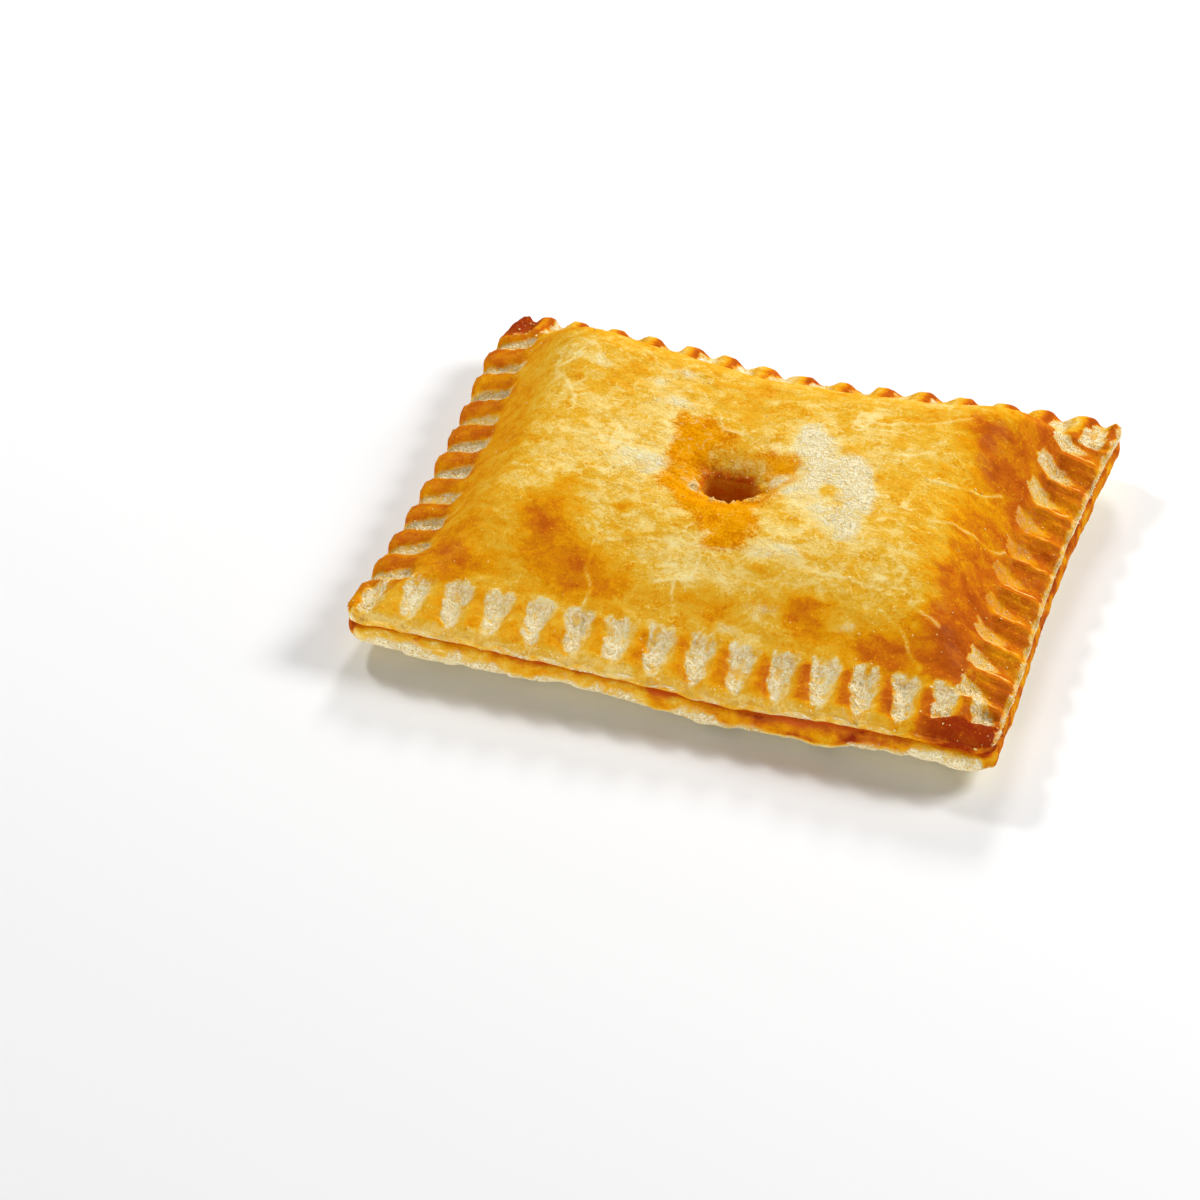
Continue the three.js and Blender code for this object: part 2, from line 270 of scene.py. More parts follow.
STAIN_PATCHES = (
    (-12, 8, 6, 6, 1.0),
    (-13, -3, 6, 9, 1.0),
    (-6, -10, 7, 8, 1.0),
    (2, -14, 8, 10, 1.0),
    (2, -22, 6, 4, 0.7),
    (9, 0, 5, 6, 0.9),
    (0, 5, 10, 5, 0.4),
)
FLOUR_PATCHES = (
    (13, 9, 5, 4, 1.0),
    (12, 13, 3, 3, 0.8),
    (19, 4, 6, 4, 1.0),
    (25, 0, 4, 6, 1.0),
    (28, -6, 3, 6, 0.9),
    (27, -14, 4, 3.5, 0.8),
    (17, -1, 5, 3, 0.7),
    (16, -5, 5, 4, 0.6),
    (21, -11, 5, 4, 0.5),
    (20.5, -4.5, 1.8, 1.8, -0.6),
    (-22, -3.5, 4, 2.5, 0.36),
    (-18.5, -4.5, 3, 2.5, 0.55),
    (-25, -6, 3, 3, 0.36),
    (-20, -8, 4, 2, 0.48),
    (-19, 13.5, 5, 1.6, 0.6),
    (-19, 23, 4, 2, 0.45),
    (-24, 19, 3, 1.8, 0.45),
    (-38, 20, 2.5, 1.5, 0.5),
    (13, -23.5, 6, 2.2, 0.5),
    (19, -24.5, 3, 2, 0.3),
    (32, -35, 3, 1.5, 0.36),
    (14, -35, 4, 1.5, 0.32),
    (8, -40, 3, 1.2, 0.4),
    (8, -1.5, 3, 2, 0.7),
    (12, -5, 2, 1.2, 0.7),
    (-9.5, -7, 1.2, 1.5, 0.6),
)

# Oil that leaks out of the seam along the front: place, reach and strength.
OIL_LEAKS = ((32, 9, 1.0), (-2, 3, 0.8), (-12, 4, 0.5))

# Stretches along the front over which the glaze of the base begins and ends, the lid's cut edge
# darkens and the base turns floury.
BASE_GLAZE_START = (5, 14)
BASE_GLAZE_END = (46, 56)
EDGE_SCORCH = (44, 60)
BASE_FLOUR = (48, 58)

# Pale creases in the lid, each through a few places, their width, which the painted highlight
# lines along the right-hand tiles share, and their least and most strength.
CREASE_AND_HIGHLIGHT_WIDTH = 0.36
CREASE_STRENGTHS = (0.4, 0.78)
CREASES = (
    ((19, -25.5), (29, -26), (39, -27), (47, -29), (52, -31.5)),
    ((39, -31), (44, -33.5), (47, -37), (50, -40)),
    ((-24, -28), (-24, -34), (-22, -37.5), (-23, -41.5)),
    ((44, -7), (50, -4.5), (56, -2), (59, 1)),
    ((40, 5), (46, 6), (51, 9), (55, 13)),
    ((-21, -27), (-11, -25), (-1, -25), (9, -25)),
    ((-5, -32), (-4, -39.5)),
    ((-1, -27), (-2, -31.5), (-8.5, -34)),
    ((20, 20), (28, 20), (36, 22), (44, 26)),
    ((28, 10), (36, 11), (40, 14)),
    ((-9, 13), (-7, 9), (-3, 9)),
    ((-48, -12), (-40, -15), (-33, -13)),
    ((-50, 20), (-44, 14), (-40, 6)),
    ((14, -9), (17, -11), (20, -11)),
    ((-5.5, -21), (-2.5, -19.5)),
)

# Sizes of the patterns in the crust's material, in millimetres. The glints are painted highlights.
SWIRL_SIZE = 8
SWIRL_REACH = 2.2
MOTTLE_SIZE = 5.5
STREAK_SIZE = 1.9
LEAF_SIZE = 2.8
FOLD_SIZE = 5.5
FINE_SIZE = 0.55
RUBBLE_SIZE = 0.4
GLINT_SIZE = 0.9
BLOT_SIZE = 3.6
PORE_SIZE = 4.0
DOT_SIZE = 0.75

# The first of the seeds of the loose bits.
FIRST_SEED = 11

# The floor's half width and drop, each lamp's direction and width and their distance, in metres.
FLOOR_HALF = 3
FLOOR_DROP = 0.0001
LAMP_DISTANCE = 1.0
LAMPS = {
    "left": ((-0.62, 0.36, 0.76), 0.16),
    "back": ((-0.1, 0.8, 0.55), 0.24),
    "right": ((0.68, 0.31, 0.66), 0.4),
    "front": ((-0.3, -0.95, 0.14), 0.22),
}

# The camera: its turn and downward tilt in degrees, the place on the floor that it looks at in
# millimetres, its distance from there in metres, its sensor's width in millimetres and how near it
# sees, in metres.
CAMERA_TURN = -17.39
CAMERA_DOWN = 41.47
CAMERA_TARGET = (-24.85, -20.06, 0)
CAMERA_DISTANCE = 1.0453
CAMERA_SENSOR = 36
CAMERA_NEAR = 0.01


def linear(red, green, blue):
    """Scene-linear colour of a screen colour given as 0 to 255."""
    levels = [value / 255 for value in (red, green, blue)]
    return [
        level / 12.92 if level <= 0.04045 else ((level + 0.055) / 1.055) ** 2.4
        for level in levels
    ]


def colour(name, description, red, green, blue):
    """A colour property."""
    return bpy.props.FloatVectorProperty(
        name=name,
        description=description,
        subtype="COLOR",
        size=3,
        min=0,
        max=1,
        default=linear(red, green, blue),
    )


def length(name, description, millimetres):
    """A length property."""
    return bpy.props.FloatProperty(
        name=name,
        description=description,
        default=millimetres * MM,
        min=0,
        unit="LENGTH",
        precision=5,
    )


def amount(name, description, default, highest=1.0):
    """A plain number property."""
    return bpy.props.FloatProperty(
        name=name, description=description, default=default, min=0, max=highest
    )


def tally(name, description, default, most):
    """A property that counts things."""
    return bpy.props.IntProperty(
        name=name, description=description, default=default, min=0, max=most
    )


class PuffCrust(bpy.types.PropertyGroup):
    """Relief and colours of the baked pastry."""

    blister: length("Blisters", "Height of the broad swellings in the lid", 0.45)
    wrinkle: length("Wrinkles", "Height of the streaky wrinkles in the lid", 0.22)
    pimple: length("Pimples", "Height of the fine unevenness in the lid", 0.1)
    crease: length("Creases", "Height of the pale creases in the lid", 0.16)
    rubble: length("Rubble", "Roughness of the floury floors of the crimp marks", 0.22)
    flaking: length("Flaking", "Unevenness of the cut edges of the two sheets", 0.35)
    flour: colour("Flour", "Unglazed floury dough", 255, 246, 212)
    blond: colour("Blond crust", "Least baked glazed crust", 250, 228, 158)
    pale: colour("Pale crust", "Lightly baked crust", 246, 212, 122)
    golden: colour("Golden crust", "Crust of the lid's crown", 234, 180, 50)
    amber: colour("Amber crust", "Crust of the lid's shoulders", 230, 153, 8)
    brown: colour("Brown crust", "Crust of the ribs and the lid's right-hand side", 202, 102, 16)
    dark: colour("Dark crust", "Darkest crust, on corners", 148, 46, 12)
    stain: colour("Stain", "Crust stained by oil round the vent", 240, 162, 2)
    soaked: colour("Soaked crust", "Darker parts of that stain", 214, 122, 4)
    # The oil colour also paints the shade deep in the vent.
    oil: colour("Oil", "Tomato oil in the seam and the vent", 206, 92, 26)
    speck: colour("Specks", "Dark specks in the flour", 150, 122, 72)
    glaze: amount("Glaze", "Strength of the egg glaze on well baked crust", 0.035)


class PuffFilling(bpy.types.PropertyGroup):
    """Size and colours of the filling that shows in the vent."""

    lump: length("Lumps", "Height of the lumps on the filling", 0.9)
    sauce: colour("Sauce", "Tomato sauce", 160, 50, 16)
    flesh: colour("Flesh", "Shreds of tuna in the sauce", 206, 118, 60)


class PuffCrumbs(bpy.types.PropertyGroup):
    """Loose bits on the pastry."""

    crumbs: tally("Crumbs", "Number of crumbs on the lid", 1100, 4000)
    grains: tally("Grains", "Number of grains of flour", 1400, 6000)
    flakes: tally("Flakes", "Number of loose flakes", 60, 1000)
    crumb_size: length("Crumb size", "Usual size of a crumb", 0.3)
    grain_size: length("Grain size", "Usual size of a grain of flour", 0.24)
    flake_size: length("Flake size", "Usual length of a flake", 0.8)
    # The crumbs are pale partly as painted highlights: beside being real crumbs, they stand for glints.
    crumb: colour("Crumb", "Golden crumbs", 255, 238, 176)


class PuffStage(bpy.types.PropertyGroup):
    """Floor, light and camera."""

    floor: colour("Floor", "Pale floor", 248, 248, 248)
    sky: amount("Sky", "Strength of the even light from all round", 0.2, 10)
    left: amount("Left lamp", "Power of the lamp on the left, in watts", 3.0, 100)
    back: amount("Back lamp", "Power of the lamp at the back, in watts", 3.6, 100)
    right: amount("Right lamp", "Power of the lamp at the back right, in watts", 6.6, 100)
    front: amount("Front lamp", "Power of the lamp at the front, in watts", 4.4, 100)
    lens: bpy.props.FloatProperty(
        name="Lens",
        description="Focal length of the camera in millimetres",
        default=150,
        min=10,
        max=500,
    )


def smoothstep(low, high, value):
    """0 below low, 1 above high and smooth between them."""
    share = np.clip((value - low) / (high - low), 0, 1)
    return share * share * (3 - 2 * share)


def falloff(low, high, value):
    """1 below low, 0 above high and smooth between them."""
    return 1 - smoothstep(low, high, value)


def bell(away, width):
    """1 where away is 0, falling off smoothly to both sides."""
    return np.exp(-((away / width) ** 2))


def mound(x, y, place_x, place_y, reach):
    """1 at a place, falling off smoothly all round it."""
    return np.exp(-((x - place_x) ** 2 + (y - place_y) ** 2) / reach**2)


def cycle(value):
    """The part of a number after its point: 0 to 1, over and over."""
    return value - np.floor(value)


def mix(first, second, share):
    """Part of the way from first to second."""
    return first + (second - first) * share


def grain(x, y, size_x, size_y, seed, octaves=2, z=0.0):
    """Smooth noise of about -1 to 1 at each place, with lumps of those sizes."""
    steps = np.broadcast_arrays(x / size_x, y / size_y, np.asarray(z + seed, float))
    places = zip(*(part.ravel() for part in steps))
    values = [noise.fractal(place, 1.0, 2.0, octaves) for place in places]
    return np.array(values).reshape(steps[0].shape)


def patch_share(x, y, place_x, place_y, reach_x, reach_y):
    """1 in the middle of a soft-edged patch, 0 well outside it."""
    away = ((x - place_x) / reach_x) ** 2 + ((y - place_y) / reach_y) ** 2
    return np.exp(-(away**1.5))


def patches_at(x, y, patches):
    """Sum of soft-edged patches at each place."""
    total = np.zeros_like(x)
    for *patch, strength in patches:
        total += strength * patch_share(x, y, *patch)
    return total


def line_distance(x, y, places):
    """Distance from each place to a line through a few places."""
    nearest = np.full_like(x, 1000.0)
    for (from_x, from_y), (to_x, to_y) in zip(places, places[1:]):
        step_x = to_x - from_x
        step_y = to_y - from_y
        along = ((x - from_x) * step_x + (y - from_y) * step_y) / (step_x**2 + step_y**2)
        along = np.clip(along, 0, 1)
        away = np.hypot(x - from_x - along * step_x, y - from_y - along * step_y)
        nearest = np.minimum(nearest, away)
    return nearest


def groove_share(along, inset, pitch, phase):
    """1 on a crimp mark's floor, 0 on a rib."""
    number = np.floor(along / pitch)
    from_middle = np.abs(along - (number + 0.5) * pitch)
    inward = np.clip(inset / GROOVE_LENGTH, 0, 1)
    half = mix(GROOVE_HALF_OUTER, GROOVE_HALF_INNER, inward)
    across = falloff(half - GROOVE_WALL, half + GROOVE_WALL, from_middle)
    end = falloff(GROOVE_LENGTH - GROOVE_END, GROOVE_LENGTH + GROOVE_END, inset)
    depth = 1 - GROOVE_UNEVEN * (0.5 + 0.5 * np.sin(2.4 * number + phase))
    return across * end * depth * mix(GROOVE_AT_EDGE, 1, inward)


def long_groove(x, y):
    """Crimp marks of the front and back edges."""
    return groove_share(x, HALF_WIDTH - np.abs(y), PITCH_LONG, np.where(y < 0, 0, 2))


def short_groove(x, y):
    """Crimp marks of the two ends."""
    clear = smoothstep(CORNER_CLEAR - 2, CORNER_CLEAR, HALF_WIDTH - np.abs(y))
    depth = clear * np.where(x < 0, 1, RIGHT_GROOVES)
    return depth * groove_share(y, HALF_LENGTH - np.abs(x), PITCH_SHORT, np.where(x < 0, 6, 4))


def swell_share(x, y):
    """Rise of the lid from its border, 0, to its crown, 1, a little rounded between shoulders."""
    width = np.where(y < 0, FRONT_SHOULDER_WIDTH, SHOULDER_WIDTH)
    share_x = (HALF_LENGTH - np.abs(x) - SHOULDER_START) / SHOULDER_WIDTH
    share_y = (HALF_WIDTH - np.abs(y) - SHOULDER_START) / width
    rounding = PLAN_ROUND / SHOULDER_WIDTH
    side = np.clip(0.5 + (share_y - share_x) / (2 * rounding), 0, 1)
    share = np.clip(mix(share_y, share_x, side) - rounding * side * (1 - side), 0, 1)
    return 1 - (1 - share**1.5) ** 4


def front_share(y):
    """1 along the front edge, falling off quickly behind it."""
    return np.maximum(0, -y / HALF_WIDTH) ** 3


def rim_ride(x, y):
    """How far the rim rides up: its corners lift, and so does the front edge beside a sag."""
    back = np.where(x < 0, BACK_LEFT_LIFT, BACK_RIGHT_LIFT)
    lift = np.where(y > 0, back, FRONT_CORNER_LIFT)
    lift = lift * (x / HALF_LENGTH) ** 2 * (y / HALF_WIDTH) ** 2
    sag = FRONT_SAG_DEPTH * bell(x - FRONT_SAG_X, FRONT_SAG_REACH)
    return lift + (FRONT_LIFT - sag) * (1 - (x / HALF_LENGTH) ** 6) * front_share(y)


def lid_height(x, y, grooves):
    """Height of the lid as the solid has it, for a given share of the crimp marks."""
    inset_x = HALF_LENGTH - np.abs(x)
    inset_y = HALF_WIDTH - np.abs(y)
    slope = BORDER_RISE * np.clip(inset_x / BORDER, 0, 1) * np.clip(inset_y / BORDER, 0, 1)
    swell = swell_share(x, y)
    uneven = np.zeros_like(x)
    for place_x, place_y, reach, height in SWELLS:
        uneven += height * mound(x, y, place_x, place_y, reach)
    across = (x - VENT_X) / FUNNEL_HALF_LENGTH
    along = (y - VENT_Y) / FUNNEL_HALF_WIDTH
    uneven -= FUNNEL_DEPTH * np.exp(-2 * (across**2 + along**2))
    rounded = EDGE_ROUND * falloff(0, EDGE_ROUND_WIDTH, np.minimum(inset_x, inset_y))
    crown = (CROWN - RIM_TOP - BORDER_RISE) * swell
    pressed = GROOVE_DEPTH * grooves
    return RIM_TOP + slope + crown + uneven * np.sqrt(swell) - pressed - rounded + rim_ride(x, y)


def rim_low(x, y):
    """Height of the underside of the rim."""
    wave = RIM_WAVE * np.sin(x / 9 + 1) * np.cos(y / 11 + 2)
    tuck = CORNER_TUCK * (x / HALF_LENGTH) ** 12 * (y / HALF_WIDTH) ** 12
    drape = np.zeros_like(x)
    for place, reach, height in FRONT_DRAPE:
        drape += height * bell(x - place, reach) * front_share(y)
    return RIM_LOW + wave + drape + tuck + rim_ride(x, y)


def settled(x, y):
    """Place on the puff of a place on the plain rectangle."""
    past_x = np.maximum(0, (np.abs(x) - HALF_LENGTH + CORNER_RADIUS) / CORNER_RADIUS)
    past_y = np.maximum(0, (np.abs(y) - HALF_WIDTH + CORNER_RADIUS) / CORNER_RADIUS)
    shrink_x = 1 - np.sqrt(np.maximum(0, 1 - past_y * past_y / 2))
    shrink_y = 1 - np.sqrt(np.maximum(0, 1 - past_x * past_x / 2))
    in_x = np.sign(x) * CORNER_RADIUS * past_x * shrink_x
    in_y = np.sign(y) * CORNER_RADIUS * past_y * shrink_y
    end_pull = np.where(x < 0, LEFT_BOW, RIGHT_BOW) / HALF_LENGTH * (1 - (y / HALF_WIDTH) ** 2)
    dent = BACK_DENT_DEPTH * bell(x - BACK_DENT_X, BACK_DENT_REACH)
    back_pull = mound(x, y, -HALF_LENGTH, HALF_WIDTH, BACK_LEFT_REACH)
    front_pull = mound(x, y, HALF_LENGTH, -HALF_WIDTH, FRONT_RIGHT_REACH)
    out_x = (x - in_x) * (1 - end_pull)
    out_x = out_x + BACK_LEFT_PULL_X * back_pull - FRONT_RIGHT_PULL * front_pull
    out_y = y - in_y - dent * np.maximum(0, y / HALF_WIDTH) ** 2 - BACK_LEFT_PULL_Y * back_pull
    return out_x, out_y


def vent_outline(angle, scale):
    """A place on the vent's ragged oval, shrunk or grown by scale."""
    torn = 1 + VENT_RAGGED * (np.sin(3 * angle + 0.6) + 0.6 * np.sin(5 * angle + 2.1))
    x = VENT_X + VENT_HALF_LENGTH * scale * torn * np.cos(angle)
    y = VENT_Y + VENT_HALF_WIDTH * scale * torn * np.sin(angle)
    return x, y


def spaced(share):
    """Crowds the grid's lines towards the edges."""
    return share * (1 + CROWDING * (1 - share * share))


def nearest_line(half, lines, place):
    """The grid line nearest to a place."""
    places = half * spaced(np.linspace(-1, 1, lines + 1))
    return places[np.argmin(np.abs(places - place))]


BLOCK_LEFT = nearest_line(HALF_LENGTH, COLUMNS, VENT_X - BLOCK_HALF_LENGTH)
BLOCK_RIGHT = nearest_line(HALF_LENGTH, COLUMNS, VENT_X + BLOCK_HALF_LENGTH)
BLOCK_FRONT = nearest_line(HALF_WIDTH, ROWS, VENT_Y - BLOCK_HALF_WIDTH)
BLOCK_BACK = nearest_line(HALF_WIDTH, ROWS, VENT_Y + BLOCK_HALF_WIDTH)


def vent_reach(x, y):
    """How far each place of the grid is from the vent, 1 on its rim, and in what direction."""
    half_length = np.where(x < VENT_X, VENT_X - BLOCK_LEFT, BLOCK_RIGHT - VENT_X)
    half_width = np.where(y < VENT_Y, VENT_Y - BLOCK_FRONT, BLOCK_BACK - VENT_Y)
    share_x = (x - VENT_X) / half_length
    share_y = (y - VENT_Y) / half_width
    return np.maximum(np.abs(share_x), np.abs(share_y)), np.arctan2(share_y, share_x)


def opened_vent(x, y):
    """Eases the grid apart, so that the block cut out of it becomes the vent's oval."""
    far, angle = vent_reach(x, y)
    oval_x, oval_y = vent_outline(angle, far)
    share = falloff(1, 2.8, far)
    return mix(x, oval_x, share), mix(y, oval_y, share)


def vent_dip(far, angle):
    """How far the lid slopes down to the back of the vent's rim."""
    return VENT_DIP * bell(far - 1, 0.6) * (0.5 + 0.5 * np.sin(angle))


class Lid:
    """The lid's marks and relief at places of the plain rectangle."""

    def __init__(self, x, y, crust):
        self.x = x
        self.y = y
        self.inset_x = HALF_LENGTH - np.abs(x)
        self.inset_y = HALF_WIDTH - np.abs(y)
        self.inset = np.minimum(self.inset_x, self.inset_y)
        self.swell = swell_share(x, y)
        self.crust = crust
        self.press()
        self.mark()
        self.bake_with_painted_light()

    def grain(self, size_x, size_y, seed, octaves=2):
        """Smooth noise at the lid's places."""
        return grain(self.x, self.y, size_x, size_y, seed, octaves)

    def press(self):
        """Crimp marks with uneven edges, held back by a band along the front right-hand edge."""
        shift_along = CRIMP_WANDER_ALONG * self.grain(4.5, 4.5, 3.1, 3)
        shift_in = CRIMP_WANDER_IN * self.grain(3.2, 3.2, 7.7, 3)
        along = long_groove(self.x + shift_along, self.y + shift_in)
        self.ends = short_groove(self.x + shift_in, self.y + shift_along)
        width = mix(*BAND_WIDTHS, smoothstep(*BAND_WIDENING, self.x))
        band = smoothstep(*BAND_FADE, self.x) * np.where(self.y < 0, 1, 0)
        self.band = band * falloff(width, width + BAND_SOFTNESS, self.inset_y + shift_along)
        self.along = along * (1 - self.band)
        self.grooves = np.maximum(self.along, self.ends)

    def mark(self):
        """Creases, painted highlight lines, wrinkles, torn lines, flour and stains."""
        warp_x = self.x + MARK_WANDER * self.grain(7, 7, 11.3, 4)
        warp_y = self.y + MARK_WANDER * self.grain(7, 7, 17.9, 4)
        crease = np.zeros_like(self.x)
        for places in CREASES:
            away = line_distance(mix(self.x, warp_x, 0.5), mix(self.y, warp_y, 0.5), places)
            crease = np.maximum(crease, bell(away, CREASE_AND_HIGHLIGHT_WIDTH))
        crease *= mix(*CREASE_STRENGTHS, smoothstep(-0.5, 0.3, self.grain(6, 6, 21.7, 3)))
        # The crease mark also carries painted highlights: pale lines along the lit walls of the
        # right-hand tiles.
        self.crease = np.maximum(crease, self.painted_wall_highlights())
        lines = grain(warp_x, warp_y, 13, 7, 23.3, 3)
        where = smoothstep(-0.1, 0.35, self.grain(17, 12, 29.1))
        self.wrinkle_lines = bell(lines, 0.045) * where * self.swell
        torn = bell(self.inset - TEAR_INSET - 0.5 * self.grain(1.6, 1.6, 71.1), TEAR_WIDTH)
        mouth = long_groove(self.x, np.sign(self.y) * (HALF_WIDTH - TEAR_MOUTH))
        self.tear = torn * mouth * np.where(self.inset_y < self.inset_x, 1, 0)
        stain = patches_at(warp_x, warp_y, STAIN_PATCHES)
        self.stain = smoothstep(0.1, 1.1, stain + 0.35 * self.grain(4, 4, 31.7, 4))
        flour = patches_at(warp_x, warp_y, FLOUR_PATCHES)
        flour = np.clip(0.85 * flour + 0.5 * flour * self.grain(3, 3, 37.1, 4), 0, 1)
        left = LEFT_DUST * smoothstep(0.3, 0.95, self.ends)
        dust = np.maximum(self.long_dust(), np.where(self.x < 0, left, self.right_dust()))
        self.flour = np.maximum(flour, dust)

    def long_dust(self):
        """Worn flour in the crimp marks of front and back, and a little along the front rim."""
        offset = self.x + 0.9 * self.grain(3.5, 3.5, 35.9, 4)
        offset = offset - (np.floor(offset / PITCH_LONG) + 0.5) * PITCH_LONG
        half = mix(*STREAK_HALVES, np.clip(self.inset_y / GROOVE_LENGTH, 0, 1))
        # Across each mark a streak starts sharply and fades out on the right.
        dust = smoothstep(-half - 0.5, -half + 0.7, offset)
        dust = dust * falloff(half - 2.6, half + 1.1, offset)
        # Along the mark it lies between the rim and a ragged end, further in at the front.
        ragged = self.inset_y + 1.1 * self.grain(1.7, 1.7, 36.7, 3)
        reach = GROOVE_LENGTH + np.where(self.y < 0, 0.1, -1.4)
        dust = dust * falloff(reach, reach + 2.1, ragged)
        dust = dust * smoothstep(0.6, 3.4, ragged) * (1 - self.band)
        # There is none near the two ends, and less where it is worn off.
        dust = dust * smoothstep(-7.5, -5.5, self.inset_x - self.inset_y)
        worn = smoothstep(-0.5, 0.1, self.grain(1.5, 2.4, 40.7, 3))
        dust = dust * mix(STREAK_WORN, 1, worn)
        front = (self.y < 0) * (self.inset_y < self.inset_x)
        rim = FRONT_RIM_DUST * falloff(0.7, 1.9, ragged) * front * (1 - self.band)
        return np.maximum(dust, rim)

    def right_dust(self):
        """Flour on the right: in the crimp marks, most near the corners, and along the rim."""
        across = cycle(self.y / PITCH_SHORT + 0.12 * self.grain(4, 4, 38.3, 3))
        from_middle = np.abs(across - 0.5) * PITCH_SHORT
        half = mix(*WEDGE_HALVES, smoothstep(2, 10, self.inset_x))
        wedge = falloff(half - 0.8, half + 0.8, from_middle)
        wedge = wedge * smoothstep(2, 7, self.inset_x) * (self.ends > 0.02)
        dust = wedge * mix(*WEDGE_DUST, smoothstep(12, 38, np.abs(self.y + 3)))
        side = self.inset_x + 0.7 * self.grain(1.7, 1.7, 38.9, 3)
        rim = RIGHT_RIM_DUST * falloff(0.2, 1.2, side) * (self.inset_x < self.inset_y)
        return np.maximum(dust, rim)

    def painted_wall_highlights(self):
        """Painted highlights: pale lines along the lit wall of each right-hand crimp mark."""
        past_wall = cycle(self.y / PITCH_SHORT) * PITCH_SHORT - PITCH_SHORT / 2 + WALL_HIGHLIGHT_OFFSET
        past_wall = past_wall + 0.5 * self.grain(2.5, 2.5, 39.5)
        line = bell(past_wall, CREASE_AND_HIGHLIGHT_WIDTH) * smoothstep(1.0, 2.5, self.inset_x)
        line = line * falloff(8.5, 10.5, self.inset_x)
        return line * (self.x > 0) * (self.inset_y > CORNER_CLEAR)

    def bake_with_painted_light(self):
        """How far the crust is baked, with painted light on the front slope: its patches, ribs, crimp
        marks, rim and burnt corner.
        """
        warp_x = self.x + BAKE_WANDER * self.grain(8, 6, 41.3, 4)
        warp_y = self.y + BAKE_WANDER * self.grain(8, 6, 43.9, 4)
        bake = np.full_like(self.x, GOLDEN)
        for *patch, level in BAKE_AND_SHADING_PATCHES:
            bake = mix(bake, level, patch_share(warp_x, warp_y, *patch))
        # The border takes the level of its ribs: past runs from one crimp mark, 0, to the next, 1.
        past = cycle(self.x / PITCH_LONG + 0.5)
        front = mix(*FRONT_RIBS, smoothstep(-30, 40, warp_x))
        front = mix(RIB_LEFT_SIDE, front, smoothstep(0.22, 0.55, past))
        back = mix(RIB_LEFT_SIDE, BACK_RIBS, smoothstep(0.4, 0.68, past))
        end_ribs = np.where(self.x < 0, LEFT_RIBS, RIGHT_RIBS)
        long_ribs = np.where(self.y < 0, front, back)
        ribs = np.where(self.inset_x < self.inset_y, end_ribs, long_ribs)
        ragged = self.inset + 1.2 * self.grain(3, 3, 45.5)
        bake = mix(bake, ribs, falloff(9.0, 12.0, ragged))
        bake += 0.1 * self.grain(9, 5, 47.1, 5)
        # The crimp marks and the front rim stay pale. One back corner and the band are dark.
        bake = mix(bake, CRIMP_FLOOR, 0.6 * smoothstep(0.4, 0.9, self.along))
        rim = falloff(1.0, 3.0, self.inset_y) * (1 - self.band) * (self.inset_y < self.inset_x)
        bake = mix(bake, FRONT_RIM, 0.7 * rim * (self.y < 0))
        corner_x, corner_y = BURNT_CORNER
        away = ((self.x - corner_x) ** 2 + (self.y - corner_y) ** 2) / BURNT_REACH**2
        burnt = np.exp(-(away**2))
        bake = mix(bake, BURNT, burnt)
        self.flour = self.flour * (1 - burnt)
        self.bake = mix(bake, DARK, self.band * smoothstep(*BAND_SCORCH, self.x))

    def height(self):
        """Height of the lid with all its relief."""
        crust = self.crust
        glazed = 1 - 0.8 * self.grooves
        height = lid_height(self.x, self.y, self.grooves)
        ribs = falloff(9.5, 12.5, self.inset)
        height += crust.blister / MM * self.grain(12, 9, 53.3) * (1 - 0.6 * ribs)
        height += crust.wrinkle / MM * self.grain(4.2, 2.2, 59.9) * glazed
        height += crust.pimple / MM * self.grain(1.2, 1.0, 61.3)
        height += crust.crease / MM * (self.crease + 0.45 * self.wrinkle_lines)
        # The right-hand end is like a row of tiles, each tilted a little.
        tilt = cycle(self.y / PITCH_SHORT) - 0.5
        tiles = falloff(8, 11, self.inset_x) * (self.x > 0) * smoothstep(8, 10, self.inset_y)
        height -= TILE_TILT * tiles * tilt * smoothstep(0.0, 2.0, self.inset_x)
        rubble = smoothstep(0.3, 0.8, self.flour)
        height += crust.rubble / MM * rubble * self.grain(1.1, 1.1, 67.7, 3)
        height -= TEAR_DEPTH * self.tear
        return height

    def scalloped(self):
        """Places drawn in where crimp marks run out over the edge."""
        fade_x = falloff(0, SCALLOP_FADE, self.inset_x)
        fade_y = falloff(0, SCALLOP_FADE, self.inset_y)
        x = self.x - np.sign(self.x) * SCALLOP * self.ends * fade_x
        y = self.y - np.sign(self.y) * SCALLOP * self.along * fade_y
        return x, y


def new_verts(made):
    """The vertices in an operator's result."""
    return [item for item in made["geom"] if isinstance(item, bmesh.types.BMVert)]


def new_edges(made):
    """The edges in an operator's result."""
    return [item for item in made["geom"] if isinstance(item, bmesh.types.BMEdge)]


